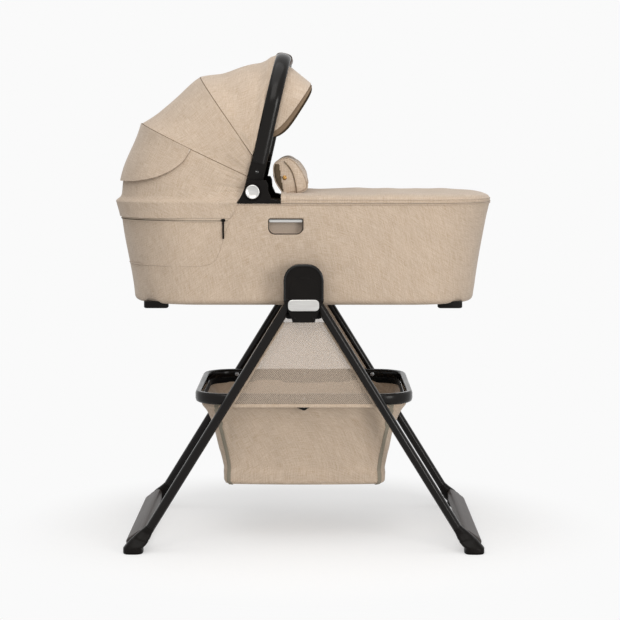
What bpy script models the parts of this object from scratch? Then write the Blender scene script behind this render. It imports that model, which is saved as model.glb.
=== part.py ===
"""Bassinet with a folding stand.

X runs from the head end (negative) to the foot end (positive), Y from the left side (negative) to the
right side, Z up. The origin is on the floor under the middle of the stand. Everything is in metres.
The stand is a pair of leg frames hinged at two hubs, with a folding hoop that holds a cloth basket.
The bassinet lifts off two upright tongues on the hubs, and carries a turning handle with a canopy.
"""

import math

import bmesh
import bpy
from mathutils import Vector

# General fits
GAP = 0.0003  # between two pieces that touch
RUNNING = 0.0004  # radial clearance of a pin in its bore
FABRIC = 0.002  # thickness of a single layer of cloth

# Leg frames
PIVOT_X = 0.032  # leg pivots, either side of the hub centre
PIVOT_Z = 0.5355
FOOT_X = 0.363  # where the leg centre lines meet the floor
LEG_Y = 0.245  # plane of the left and right legs
LEG_WIDE = 0.020  # leg tube seen from the side
LEG_DEEP = 0.024  # leg tube seen from the end
LEG_PIN_RADIUS = 0.004
FOLD_DEGREES = 30.0

# Foot mouldings and crossbars
BOOT_RISE = 0.062  # length of the moulding along the leg
BOOT_LONG = 0.043
BOOT_WIDE = 0.044
BOOT_BACK = 0.0035  # how far the sole stands behind the foot point
SOLE_TOP = 0.012
SOLE_EDGE = 0.0015
BAR_THICK_TOP = 0.045  # crossbar ridge height above the floor
BAR_BOTTOM = 0.0135

# Hub
ARCH_HALF = 0.0425
ARCH_TOP = PIVOT_Z + 0.0865
ARCH_CORNER = 0.034
ARCH_SHOULDER = PIVOT_Z + 0.0075  # where the arch ends and the lower block starts
ARCH_RIM = 0.0055
ARCH_RECESS = 0.0016
HUB_BOTTOM = PIVOT_Z - 0.037
HUB_BLOCK_HALF = 0.0205  # block between the legs
HUB_FOOT_HALF = 0.0235  # cover outline at its lower edge
HUB_INNER_WALL = 0.0105
HUB_COVER_THICK = 0.0075
HUB_INNER_HALF = 0.040
BADGE_HALF = 0.033
BADGE_BOTTOM = PIVOT_Z - 0.0125
BADGE_TOP = PIVOT_Z + 0.0115
BADGE_CORNER = 0.0085
BADGE_THICK = 0.0025
TONGUE_HALF = 0.018
TONGUE_THICK = 0.006
TONGUE_TOP = PIVOT_Z + 0.0645

# Basket hoop
HOOP_HALF_LONG = 0.238
HOOP_HALF_WIDE = 0.218
HOOP_CORNER = 0.071
HOOP_THICK = 0.014
HOOP_TALL = 0.0245
HOOP_Z = 0.327
HOOP_PIN_RADIUS = 0.003
HOOP_COLLAR_RADIUS = 0.0055
LAP_LONG = 0.0595  # length of the half lap, from the centre
LAP_TIP = 0.014  # how far each lap plate runs past the centre
LOBE_DROP = 0.0115  # the centre knuckle hangs below the band
LOBE_HALF = 0.026
LOBE_RADIUS = 0.009

# Basket
BASKET_TOP = 0.3195
BASKET_BOTTOM = 0.131
BASKET_HALF_LONG = 0.178
BASKET_HALF_WIDE = 0.163
BASKET_KNEE = 0.178  # below this height the walls are upright
MESH_BOTTOM = 0.3126
MESH_TOP = 0.4965
MESH_THICK = 0.0015
NET_SEAT = 0.0004  # the leg is rounded, so its edge lies this much further out
MESH_UNDER_LEG = 0.0045  # how far the net runs behind the leg edge

# Bassinet tub
TUB_BOTTOM = 0.530
TUB_TOP = 0.746
TUB_HEAD = 0.4215
TUB_FOOT = 0.4180
TUB_HALF_WIDE = 0.216
TUB_LEAN_LONG = 0.038  # each end draws in this much towards the bottom
TUB_LEAN_WIDE = 0.0095
TUB_ROUND = 0.012  # edge between wall and bottom
HEAD_CORNER = 0.165
FOOT_CORNER = 0.150
COVER_WALL = 0.004
TRAY_WALL = 0.0025
TRAY_TOP = 0.590
LINER_INSET = 0.0225
LINER_WALL = 0.003
RIM_TALL = 0.016
MATTRESS_TOP = TUB_BOTTOM + 0.045
MATTRESS_EASE = 0.002
CORNER_STEPS = 7

# Fittings on the tub
REST_FOOT_X = (0.0965 - TUB_HEAD, TUB_FOOT - 0.097)
REST_FOOT_Y = 0.155
REST_FOOT_LONG = 0.055
REST_FOOT_WIDE = 0.030
REST_FOOT_DROP = 0.010
ADAPTER_HALF = 0.030
ADAPTER_TOP = 0.612
ADAPTER_WALL = 0.004
GRAB_X = -0.0385
GRAB_LONG = 0.073
GRAB_BOTTOM = 0.6838
GRAB_TOP = 0.7157
GRAB_CORNER = 0.014
CUP_WALL = 0.0025
CUP_DEEP = 0.0141
CUP_HEADROOM = 0.0070  # hidden space above the opening, for the lever
LEVER_TALL = 0.0065
LEVER_DEEP = 0.011
ZIP_Z = 0.713
ZIP_TALL = 0.008
ZIP_THICK = 0.0012
ZIP_END_X = -0.163
SLIDER_LONG = 0.009
SLIDER_TALL = 0.006
SLIDER_THICK = 0.003
PULL_LONG = 0.040
PULL_WIDE = 0.004

# Boot cover
BOOT_COVER_START = -0.0485
BOOT_COVER_CROWN = 0.0225  # crown above the rim
BOOT_COVER_BAND = 0.0075
BOOT_COVER_WALL = 0.004
FLAP_X = -0.056
FLAP_HALF_WIDE = 0.175
SNAP_RADIUS = 0.005
SNAP_THICK = 0.0025
SNAP_X = -0.047
SNAP_Z = 0.7965

# Carry handle
HANDLE_X = -0.109
HANDLE_Z = 0.774
HANDLE_Y = 0.202
HANDLE_LEAN = 11.0  # degrees forward of upright
HANDLE_REACH = 0.305
BAIL_WIDE = 0.033
BAIL_THICK = 0.018
BAIL_CORNER = 0.110
KNUCKLE_TOP = 0.062
KNUCKLE_RADIUS = 0.0175
KNUCKLE_THICK = 0.017
EAR_THICK = 0.010
BASE_FOOT_THICK = 0.0065
BASE_TOP = 0.799
PIVOT_PIN_RADIUS = 0.006
PIVOT_PIN_DEEP = 0.005
BUTTON_RADIUS = 0.0125
BUTTON_PROUD = 0.004
BUTTON_TRAVEL = 0.003
BUTTON_POCKET = 0.0085
GRIP_HALF = 0.075
GRIP_WALL = 0.0015

# Canopy
BOW_RADIUS = 0.0024
BOW_PIN_RADIUS = 0.003
BOW_EYE_RADIUS = 0.007
BOW_EYE_THICK = 0.0052
FAN_X = -0.0845  # the seams of the fan meet here, ahead of the handle pivot
FAN_Z = 0.8045
BOW_FRONT_ANGLE = 120.2
BOW_REAR_ANGLE = 158.0
BOW_FRONT_REACH = 0.86 * HANDLE_REACH - 0.0026
BOW_REAR_REACH = 0.905 * (TUB_HEAD + FAN_X)
CANOPY_CORNER = 0.150
CANOPY_HALF_WIDE = 0.208
CANOPY_START = 0.052  # cloth begins this far from where the seams meet
SEAM_HALF_GAP = 0.4  # degrees
VISOR_START = 0.140
VISOR_LONG = 0.0815
VISOR_SIDE_LONG = 0.038
VENT_CLEAR = 0.0008

# Values that follow from the ones above
LEG_ANGLE = math.atan2(FOOT_X - PIVOT_X, PIVOT_Z)
LEG_LONG = PIVOT_Z / math.cos(LEG_ANGLE)
LEG_IN = LEG_Y - LEG_DEEP / 2
LEG_OUT = LEG_Y + LEG_DEEP / 2
HOOP_PIN_X = PIVOT_X + (PIVOT_Z - HOOP_Z) * math.tan(LEG_ANGLE)
HOOP_IN = HOOP_HALF_WIDE - HOOP_THICK
RIM_TOP = TUB_TOP + GAP + LINER_WALL
BAIL_IN = HANDLE_Y - BAIL_THICK / 2
BAIL_OUT = HANDLE_Y + BAIL_THICK / 2
KNUCKLE_IN = HANDLE_Y - KNUCKLE_THICK / 2
KNUCKLE_OUT = HANDLE_Y + KNUCKLE_THICK / 2
HANDLE_ANGLE = 90.0 - HANDLE_LEAN

SIDES = {"left": -1.0, "right": 1.0}
ENDS = {"head": -1.0, "foot": 1.0}


def srgb(hex_colour):
    """Linear RGBA of an sRGB hex colour."""
    out = []
    for k in (0, 2, 4):
        c = int(hex_colour[k : k + 2], 16) / 255
        out.append(c / 12.92 if c <= 0.04045 else ((c + 0.055) / 1.055) ** 2.4)
    return (*out, 1.0)


def finish(name, colour, roughness, metallic=0.0, alpha=1.0):
    """A Principled material of one colour."""
    mat = bpy.data.materials.new(name)
    mat.use_nodes = True
    shader = mat.node_tree.nodes["Principled BSDF"]
    shader.inputs["Base Color"].default_value = srgb(colour)
    shader.inputs["Roughness"].default_value = roughness
    shader.inputs["Metallic"].default_value = metallic
    shader.inputs["Alpha"].default_value = alpha
    mat.diffuse_color = (*srgb(colour)[:3], alpha)
    return mat


def solid(name, bm, mat, sharp_degrees=35.0):
    """An object from a closed bmesh, faces outwards and round faces smooth."""
    bmesh.ops.recalc_face_normals(bm, faces=bm.faces)
    mesh = bpy.data.meshes.new(name)
    bm.to_mesh(mesh)
    bm.free()
    mesh.shade_smooth()
    mesh.set_sharp_from_angle(angle=math.radians(sharp_degrees))
    if mat is not None:
        mesh.materials.append(mat)
    obj = bpy.data.objects.new(name, mesh)
    bpy.context.scene.collection.objects.link(obj)
    return obj


def helper(name, bm):
    """A cutter or an added body for a Boolean, left out of the model."""
    obj = solid(name, bm, None)
    obj.hide_render = True
    obj.display_type = "WIRE"
    return obj


def combine(obj, operation, other):
    """Adds a Boolean modifier that joins, cuts or keeps what is common."""
    mod = obj.modifiers.new(operation.lower() + "_" + other.name, "BOOLEAN")
    mod.operation = operation
    mod.solver = "EXACT"
    mod.object = other
    return obj


def loft(rings, joined=False, bm=None):
    """Bridges rings of equal length. The ends are capped, or the last ring meets the first."""
    bm = bm or bmesh.new()
    rows = [[bm.verts.new(p) for p in ring] for ring in rings]
    pairs = list(zip(rows, rows[1:]))
    if joined:
        pairs.append((rows[-1], rows[0]))
    for a, b in pairs:
        for i in range(len(a)):
            k = (i + 1) % len(a)
            bm.faces.new((a[i], a[k], b[k], b[i]))
    if not joined:
        bm.faces.new(list(reversed(rows[0])))
        bm.faces.new(rows[-1])
    return bm


def sheet(outer, inner):
    """A closed thin body between two grids of points that have the same rows and columns."""
    bm = bmesh.new()
    top = [[bm.verts.new(p) for p in row] for row in outer]
    low = [[bm.verts.new(p) for p in row] for row in inner]
    last_row, last_col = len(top) - 1, len(top[0]) - 1
    for i in range(last_row):
        for j in range(last_col):
            bm.faces.new((top[i][j], top[i][j + 1], top[i + 1][j + 1], top[i + 1][j]))
            bm.faces.new((low[i][j], low[i + 1][j], low[i + 1][j + 1], low[i][j + 1]))
    for j in range(last_col):
        bm.faces.new((top[0][j], low[0][j], low[0][j + 1], top[0][j + 1]))
        bm.faces.new((top[last_row][j], top[last_row][j + 1], low[last_row][j + 1], low[last_row][j]))
    for i in range(last_row):
        bm.faces.new((top[i][0], top[i + 1][0], low[i + 1][0], low[i][0]))
        bm.faces.new((top[i][last_col], low[i][last_col], low[i + 1][last_col], top[i + 1][last_col]))
    return bm


def prism(outline, y0, y1, bm=None):
    """An outline of (x, z) points, extruded along Y."""
    return loft([[Vector((x, y, z)) for x, z in outline] for y in (y0, y1)], bm=bm)


def turned(profile, x, z, side, steps=16, bm=None):
    """A turned body about a line along Y. The profile is a list of (radius, distance from the middle)."""
    rings = []
    for radius, reach in profile:
        turns = [2 * math.pi * k / steps for k in range(steps)]
        rings.append([(x + radius * math.cos(a), side * reach, z + radius * math.sin(a)) for a in turns])
    return loft(rings, bm=bm)


def arc(cx, cz, radius, start, stop, steps):
    """Points on an arc, in degrees, both ends included."""
    angles = [math.radians(start + (stop - start) * k / steps) for k in range(steps + 1)]
    return [(cx + radius * math.cos(a), cz + radius * math.sin(a)) for a in angles]


def rounded(x0, x1, z0, z1, radius, steps=4):
    """A rectangle with round corners, counter-clockwise from its lower right corner."""
    r = min(radius, (x1 - x0) / 2 - 1e-5, (z1 - z0) / 2 - 1e-5)
    return (
        arc(x1 - r, z0 + r, r, -90, 0, steps)
        + arc(x1 - r, z1 - r, r, 0, 90, steps)
        + arc(x0 + r, z1 - r, r, 90, 180, steps)
        + arc(x0 + r, z0 + r, r, 180, 270, steps)
    )


def swept(path, section, across, joined=False, bm=None):
    """A section of (along across, along the other normal) points carried along a flat path."""
    rings = []
    last = len(path) - 1
    for i, p in enumerate(path):
        before = path[i - 1] if i or joined else path[0]
        after = path[(i + 1) % len(path)] if i < last or joined else path[last]
        other = (Vector(after) - Vector(before)).normalized().cross(Vector(across))
        rings.append([Vector(p) + u * Vector(across) + v * other for u, v in section])
    return loft(rings, joined=joined, bm=bm)


def oval(half_u, half_v, power, steps):
    """A superellipse: power 2 is an ellipse, more is squarer."""
    points = []
    for k in range(steps):
        a = 2 * math.pi * (k + 0.5) / steps
        c, s = math.cos(a), math.sin(a)
        u = half_u * math.copysign(abs(c) ** (2 / power), c)
        v = half_v * math.copysign(abs(s) ** (2 / power), s)
        points.append((u, v))
    return points


# Leg frames


def leg_point(end, along, off=0.0):
    """(x, z) on a leg, a distance down from its pivot, and off towards the outer edge."""
    x = PIVOT_X + along * math.sin(LEG_ANGLE) + off * math.cos(LEG_ANGLE)
    z = PIVOT_Z - along * math.cos(LEG_ANGLE) + off * math.sin(LEG_ANGLE)
    return end * x, z


def make_leg(end_name, side_name):
    """An oval tube with a round eye at the top that turns on the hub pin."""
    end, side = ENDS[end_name], SIDES[side_name]
    half = LEG_WIDE / 2
    stations = [(-half * math.sin(math.radians(a)), math.cos(math.radians(a))) for a in (80, 60, 40, 20, 0)]
    stations += [(LEG_LONG - BOOT_RISE, 1.0)]
    rings = []
    for along, width in stations:
        ring = []
        for u, v in oval(LEG_DEEP / 2, half, 3.2, 16):
            x, z = leg_point(end, along, v * width)
            ring.append((x, side * LEG_Y + u, z))
        rings.append(ring)
    leg = solid(f"{end_name}_leg_{side_name}", loft(rings), BLACK_SATIN)
    bore = turned(
        [(LEG_PIN_RADIUS + RUNNING, LEG_IN - 0.01), (LEG_PIN_RADIUS + RUNNING, LEG_OUT + 0.01)],
        end * PIVOT_X,
        PIVOT_Z,
        side,
    )
    combine(leg, "DIFFERENCE", helper(f"cut_bore_{end_name}_{side_name}", bore))


def boot_rings(end, side):
    """Sections of a foot moulding, from the leg tube down to the sole."""
    sole_x = FOOT_X + BOOT_BACK
    top_x, top_z = leg_point(1.0, LEG_LONG - BOOT_RISE + GAP)
    sole_y = LEG_IN + BOOT_WIDE / 2
    # share of the way down, tilt, half length and half width of each section
    steps = [
        (0.0, 1.0, LEG_WIDE / 2, LEG_DEEP / 2),
        (0.22, 0.75, LEG_WIDE * 0.62, LEG_DEEP * 0.52),
        (0.62, 0.35, BOOT_LONG * 0.43, BOOT_WIDE * 0.42),
        (1.0, 0.0, BOOT_LONG / 2, BOOT_WIDE / 2),
    ]
    rings = []
    for share, tilt, half_long, half_wide in steps:
        x = top_x + (sole_x - top_x) * share
        z = top_z + (SOLE_TOP - top_z) * share
        inner = LEG_IN + (sole_y - BOOT_WIDE / 2 - LEG_IN) * share
        lean = tilt * LEG_ANGLE
        ring = []
        for u, v in oval(half_wide, half_long, 3.2, 16):
            px = x + v * math.cos(lean)
            ring.append((end * px, side * (inner + half_wide + u), z + v * math.sin(lean)))
        rings.append(ring)
    for z, inset in ((0.0015, 0.0), (0.0, SOLE_EDGE)):
        sole = oval(BOOT_WIDE / 2 - inset, BOOT_LONG / 2 - inset, 3.2, 16)
        rings.append([(end * (sole_x + v), side * (sole_y + u), z) for u, v in sole])
    return rings


def make_feet(end_name):
    """The shoes of one leg frame, and the crossbar between them."""
    end = ENDS[end_name]
    for side_name, side in SIDES.items():
        solid(f"{end_name}_shoe_{side_name}", loft(boot_rings(end, side)), BLACK_PLASTIC)
    sole_x = FOOT_X + BOOT_BACK
    outer, inner = sole_x + BOOT_LONG / 2 - 0.003, sole_x - BOOT_LONG / 2 + 0.002
    crown = BAR_THICK_TOP - BAR_BOTTOM
    outline = [
        (outer - 0.001, BAR_BOTTOM),
        (outer, BAR_BOTTOM + crown * 0.25),
        (outer - 0.005, BAR_BOTTOM + crown * 0.43),
        (outer - 0.029, BAR_THICK_TOP - 0.001),
        (outer - 0.036, BAR_THICK_TOP),
        (inner - 0.003, BAR_BOTTOM + crown * 0.8),
        (inner - 0.002, BAR_BOTTOM + crown * 0.25),
        (inner + 0.001, BAR_BOTTOM),
    ]
    reach = LEG_IN - GAP
    bar = prism([(end * x, z) for x, z in outline], -reach, reach)
    solid(f"{end_name}_crossbar", bar, BROWN_BLACK)


# Hubs


def arch_outline(grow=0.0, bottom=HUB_BOTTOM):
    """The hub cover seen from the side: an arch over a block that narrows to its lower edge."""
    half, corner = ARCH_HALF + grow, ARCH_CORNER + grow
    top = ARCH_TOP + grow
    right = [(HUB_FOOT_HALF + grow, bottom)]
    right += [(HUB_FOOT_HALF + 0.0015 + grow, bottom + 0.006)]
    right += [(ARCH_HALF - 0.006 + grow, ARCH_SHOULDER - 0.012), (half, ARCH_SHOULDER)]
    right += arc(half - corner, top - corner, corner, 0, 90, 6)
    left = [(-x, z) for x, z in reversed(right)]
    return right + left


def plain_arch(half, bottom, top, corner):
    """An upright plate with a flat lower edge and round upper corners."""
    right = [(half, bottom)] + arc(half - corner, top - corner, corner, 0, 90, 6)
    return right + [(-x, z) for x, z in reversed(right)]


def make_hub(side_name):
    """The hub body with its tongue and stub pins for the legs, its outer cover and the plain badge plate."""
    side = SIDES[side_name]
    inner = LEG_IN - GAP - HUB_INNER_WALL
    outer = LEG_OUT + GAP
    seat = PIVOT_Z + LEG_WIDE / 2 + 0.0015
    seat_arch = plain_arch(ARCH_HALF - 0.001, seat, ARCH_TOP - 0.001, ARCH_CORNER - 0.001)
    body = prism(seat_arch, side * LEG_IN, side * outer)
    hub = solid(f"hub_{side_name}", body, BLACK_PLASTIC)
    wall = rounded(-HUB_INNER_HALF, HUB_INNER_HALF, HUB_BOTTOM + 0.0045, seat + 0.0005, 0.008)
    combine(hub, "UNION", helper(f"add_wall_{side_name}", prism(wall, side * inner, side * (LEG_IN - GAP))))
    low, near, far, step = HUB_BOTTOM + 0.0055, inner + 0.001, outer - 0.0005, LEG_IN + 0.0005
    block = [(near, low), (far, low), (far, seat + 0.004), (step, seat + 0.004), (step, seat), (near, seat)]
    middle = loft([[(x, side * y, z) for y, z in block] for x in (-HUB_BLOCK_HALF, HUB_BLOCK_HALF)])
    combine(hub, "UNION", helper(f"add_block_{side_name}", middle))
    tongue_in = inner + 0.0022
    tongue = plain_arch(TONGUE_HALF, seat - 0.004, TONGUE_TOP, 0.008)
    upright = prism(tongue, side * tongue_in, side * (tongue_in + TONGUE_THICK))
    combine(hub, "UNION", helper(f"add_tongue_{side_name}", upright))
    pins = bmesh.new()
    for end in ENDS.values():
        pin = [(LEG_PIN_RADIUS, inner + 0.002), (LEG_PIN_RADIUS, LEG_OUT)]
        turned(pin, end * PIVOT_X, PIVOT_Z, side, bm=pins)
    combine(hub, "UNION", helper(f"add_pins_{side_name}", pins))

    face = outer + GAP + HUB_COVER_THICK
    cover = solid(
        f"hub_cover_{side_name}", prism(arch_outline(), side * (outer + GAP), side * face), BLACK_PLASTIC
    )
    rim = ARCH_RIM
    recess = plain_arch(ARCH_HALF - rim, BADGE_TOP + 0.001, ARCH_TOP - rim, ARCH_CORNER - rim)
    pocket = prism(recess, side * (face - ARCH_RECESS), side * (face + 0.01))
    combine(cover, "DIFFERENCE", helper(f"cut_recess_{side_name}", pocket))
    step_top = BADGE_TOP + 0.62 * (ARCH_TOP - BADGE_TOP)
    step = plain_arch(ARCH_HALF - 2.2 * rim, BADGE_TOP, step_top, ARCH_CORNER - 2.0 * rim)
    hill = prism(step, side * (face - ARCH_RECESS - 0.001), side * (face - 0.4 * ARCH_RECESS))
    combine(cover, "UNION", helper(f"add_step_{side_name}", hill))
    badge = rounded(-BADGE_HALF, BADGE_HALF, BADGE_BOTTOM, BADGE_TOP, BADGE_CORNER)
    small = rounded(
        -BADGE_HALF + 0.0008, BADGE_HALF - 0.0008, BADGE_BOTTOM + 0.0008, BADGE_TOP - 0.0008, BADGE_CORNER
    )
    back, front = face + GAP, face + GAP + BADGE_THICK
    rings = [(badge, back), (badge, front - 0.0008), (small, front)]
    plate = loft([[(x, side * y, z) for x, z in outline] for outline, y in rings])
    solid(f"hub_badge_{side_name}", plate, SILVER)


# Basket hoop, basket and nets


def hoop_path(end):
    """Centre line of a half hoop: along the left side, round the end and back along the right side."""
    x = HOOP_HALF_LONG - HOOP_THICK / 2
    y = HOOP_HALF_WIDE - HOOP_THICK / 2
    r = HOOP_CORNER - HOOP_THICK / 2
    corner = arc(x - r, y - r, r, 0, 90, 6)
    right = [(LAP_LONG, y)] + list(reversed(corner))
    points = right + [(px, -py) for px, py in reversed(right)]
    return [(end * px, py, HOOP_Z) for px, py in points]


def lap_outline(end):
    """A lap plate seen from the side, with its share of the centre knuckle below the band."""
    low, high = HOOP_Z - HOOP_TALL / 2, HOOP_Z + HOOP_TALL / 2
    hinge = low - LOBE_DROP + LOBE_RADIUS
    tip = LAP_TIP
    points = [(-LAP_LONG - 0.004, low + GAP), (-LOBE_HALF, low + GAP)]
    points += arc(0.0, hinge, LOBE_RADIUS, 235, 350, 5)
    points += [(tip, low + 0.006), (tip, high - 0.007), (tip - 0.003, high - 0.002)]
    points += [(tip - 0.007, high - GAP), (-LAP_LONG - 0.004, high - GAP)]
    return [(-end * x, z) for x, z in points]


def make_hoop(end_name):
    """Half of the basket hoop. The two halves lie side by side at the middle, in a half lap."""
    end = ENDS[end_name]
    section = oval(HOOP_TALL / 2, HOOP_THICK / 2, 3.4, 12)
    band = swept(hoop_path(end), section, (0, 0, 1))
    hoop = solid(f"{end_name}_hoop", band, BLACK_SATIN)
    split = HOOP_HALF_WIDE - HOOP_THICK / 2
    inset = 0.0006
    near, far = (split + GAP, HOOP_HALF_WIDE - inset) if end < 0 else (HOOP_IN + inset, split - GAP)
    for side_name, side in SIDES.items():
        plate = prism(lap_outline(end), side * near, side * far)
        combine(hoop, "UNION", helper(f"add_lap_{end_name}_{side_name}", plate))
    bores = bmesh.new()
    r = HOOP_PIN_RADIUS + RUNNING
    for side in SIDES.values():
        reach = [(r, HOOP_IN - 0.01), (r, HOOP_HALF_WIDE + 0.01)]
        turned(reach, end * HOOP_PIN_X, HOOP_Z, side, 12, bm=bores)
    combine(hoop, "DIFFERENCE", helper(f"cut_hoop_{end_name}", bores))


def make_hoop_pin(end_name, side_name):
    """A headed pin that carries a half hoop on a leg, with a spacing collar."""
    r, collar = HOOP_PIN_RADIUS, HOOP_COLLAR_RADIUS
    profile = [(r + 0.001, HOOP_IN - 0.0016), (r + 0.002, HOOP_IN - 0.0010), (r + 0.002, HOOP_IN - GAP)]
    profile += [(r, HOOP_IN - GAP), (r, HOOP_HALF_WIDE + GAP), (collar, HOOP_HALF_WIDE + GAP)]
    profile += [(collar, LEG_IN - GAP)]
    pin = turned(profile, ENDS[end_name] * HOOP_PIN_X, HOOP_Z, SIDES[side_name], 12)
    solid(f"{end_name}_hoop_pin_{side_name}", pin, STEEL)


def basket_ring(half_long, half_wide, corner, z):
    """A level section of the basket."""
    return [(x, y, z) for x, y in rounded(-half_long, half_long, -half_wide, half_wide, corner, 5)]


def make_basket():
    """An open cloth bin that hangs inside the hoop and narrows to upright lower walls."""
    top_long = HOOP_HALF_LONG - HOOP_THICK - GAP
    top_wide = HOOP_IN - GAP
    corner = HOOP_CORNER - HOOP_THICK
    low_long, low_wide = BASKET_HALF_LONG, BASKET_HALF_WIDE
    middle = (BASKET_TOP + BASKET_KNEE) / 2
    stations = [
        (low_long - 0.008, low_wide - 0.008, 0.018, BASKET_BOTTOM),
        (low_long, low_wide, 0.022, BASKET_BOTTOM + 0.006),
        (low_long + 0.001, low_wide + 0.001, 0.026, BASKET_KNEE),
        ((low_long + top_long) / 2 - 0.002, (low_wide + top_wide) / 2, 0.055, middle),
        (top_long, top_wide, corner, BASKET_TOP - 0.012),
        (top_long, top_wide, corner, BASKET_TOP),
    ]
    rings = [basket_ring(*s) for s in stations]
    wall = FABRIC
    inner = []
    for a, b, c, z in reversed(stations[1:]):
        inner.append(basket_ring(a - wall, b - wall, max(c - wall, 0.004), z))
    a, b, c, z = stations[0]
    inner.append(basket_ring(a - wall, b - wall, c, z + wall))
    solid("basket_bin", loft(rings + inner), MELANGE)


def make_net(side_name):
    """The see-through net between the legs of one side, from the hub down to the basket."""
    side = SIDES[side_name]
    half = LEG_WIDE / 2 - MESH_UNDER_LEG
    outline = []
    for z in (MESH_BOTTOM, MESH_TOP):
        along = (PIVOT_Z - z) / math.cos(LEG_ANGLE)
        x, _ = leg_point(1.0, along)
        outline.append((x - half / math.cos(LEG_ANGLE), z))
    outline += [(-x, z) for x, z in reversed(outline)]
    net = prism(outline, side * (LEG_IN + NET_SEAT - MESH_THICK), side * (LEG_IN + NET_SEAT))
    solid(f"side_net_{side_name}", net, NET)


# Bassinet tub


def tub_extent(z):
    """Half widths of the tub at a height: head reach, foot reach and half width."""
    upright = TUB_BOTTOM + TUB_ROUND
    share = min(max((z - upright) / (TUB_TOP - upright), 0.0), 1.1)
    lean = 0.6 * share + 0.4 * share * share
    drawn = TUB_LEAN_LONG * (1 - lean)
    return TUB_HEAD - drawn, TUB_FOOT - drawn, TUB_HALF_WIDE - TUB_LEAN_WIDE * (1 - share)


def plan(head, foot, half_wide, head_corner, foot_corner, z, steps=CORNER_STEPS):
    """A level outline with its own corner radius at each end, seen from above."""
    rh = min(head_corner, half_wide - 0.002)
    rf = min(foot_corner, half_wide - 0.002)
    points = arc(foot - rf, half_wide - rf, rf, 0, 90, steps)
    points += arc(-head + rh, half_wide - rh, rh, 90, 180, steps)
    points += arc(-head + rh, -half_wide + rh, rh, 180, 270, steps)
    points += arc(foot - rf, -half_wide + rf, rf, 270, 360, steps)
    return [(x, y, z) for x, y in points]


def tub_ring(z, inset, floor=None):
    """The tub's outline at a height, moved inwards, with a rounded edge above its floor."""
    head, foot, wide = tub_extent(z)
    low = TUB_BOTTOM + inset if floor is None else floor
    rise = min(max(low + TUB_ROUND - z, 0.0), TUB_ROUND)
    inset += TUB_ROUND - math.sqrt(TUB_ROUND**2 - min(rise, TUB_ROUND * 0.98) ** 2)
    return plan(head - inset, foot - inset, wide - inset, HEAD_CORNER - inset, FOOT_CORNER - inset, z)


def rest_feet(grow, top):
    """Blocks under the tub, for standing it on a floor. They go through the cloth."""
    bm = bmesh.new()
    low = TUB_BOTTOM - REST_FOOT_DROP - grow
    for x in REST_FOOT_X:
        for side in SIDES.values():
            y = side * REST_FOOT_Y
            a, b = REST_FOOT_LONG / 2 + grow, REST_FOOT_WIDE / 2 + grow
            wide = rounded(x - a, x + a, y - b, y + b, 0.008, 3)
            c, d = a - 0.002, b - 0.002
            narrow = rounded(x - c, x + c, y - d, y + d, 0.007, 3)
            rings = [(wide, top), (wide, low + 0.002), (narrow, low)]
            loft([[(px, py, z) for px, py in outline] for outline, z in rings], bm=bm)
    return bm


def make_tub_cover():
    """The padded cloth shell, open at the top, with a finger opening in each side."""
    wall = COVER_WALL
    low = TUB_BOTTOM
    tall = TUB_TOP - low
    walls = [low + 0.324 * tall, low + 0.602 * tall, low + 0.81 * tall, TUB_TOP]
    rings = [tub_ring(z, 0.0) for z in [low, low + 0.003, low + 0.010] + walls]
    rings += [tub_ring(z, wall) for z in walls[::-1] + [low + wall + 0.010, low + wall + 0.003]]
    rings += [tub_ring(low + wall, wall)]
    cover = solid("tub_cover", loft(rings), MELANGE)
    combine(cover, "DIFFERENCE", helper("cut_rest_feet", rest_feet(0.0005, TUB_BOTTOM + 0.006)))
    for side_name, side in SIDES.items():
        opening = grab_outline(0.0)
        cutter = prism(opening, side * (TUB_HALF_WIDE - 0.02), side * (TUB_HALF_WIDE + 0.02))
        combine(cover, "DIFFERENCE", helper(f"cut_grab_{side_name}", cutter))


def make_tray():
    """The moulded base that the tub cover is pulled over."""
    inset = COVER_WALL + GAP
    low = TUB_BOTTOM + inset
    wall = TRAY_WALL
    rings = [tub_ring(z, inset) for z in (low, low + 0.003, low + 0.010, TRAY_TOP)]
    inside = (TRAY_TOP, low + wall + 0.010, low + wall + 0.003, low + wall)
    rings += [tub_ring(z, inset + wall) for z in inside]
    tray = solid("base_tray", loft(rings), BLACK_PLASTIC)
    combine(tray, "UNION", helper("add_rest_feet", rest_feet(0.0, low + 0.001)))


def make_liner():
    """The inner lining, turned over the rim. Its floor lies on the tray."""
    floor = TUB_BOTTOM + COVER_WALL + TRAY_WALL + 2 * GAP
    out, inn = LINER_INSET, LINER_INSET + LINER_WALL
    inner = floor + LINER_WALL
    tall = TUB_TOP - TUB_BOTTOM
    knees = [TUB_BOTTOM + 0.324 * tall, TUB_BOTTOM + 0.648 * tall]
    heights = [floor, floor + 0.003, floor + 0.010] + knees + [TUB_TOP + GAP]
    rings = [tub_ring(z, out, floor) for z in heights]
    rings += [tub_ring(TUB_TOP + GAP, 0.0005), tub_ring(RIM_TOP, 0.0005), tub_ring(RIM_TOP, inn)]
    rings += [tub_ring(z, inn, inner) for z in knees[::-1] + [inner + 0.010, inner + 0.003, inner]]
    solid("inner_liner", loft(rings), LINING)


def make_rim_frame():
    """The closed tube that stiffens the rim, between the cover and the lining."""
    near, far = COVER_WALL + GAP, LINER_INSET - GAP
    middle, half = (near + far) / 2, (far - near) / 2
    top = TUB_TOP
    section = oval(half, RIM_TALL / 2, 3.0, 8)
    rings = [tub_ring(top - RIM_TALL / 2 + v, middle + u) for u, v in section]
    solid("rim_frame", loft(rings, joined=True), ALUMINIUM)


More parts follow.
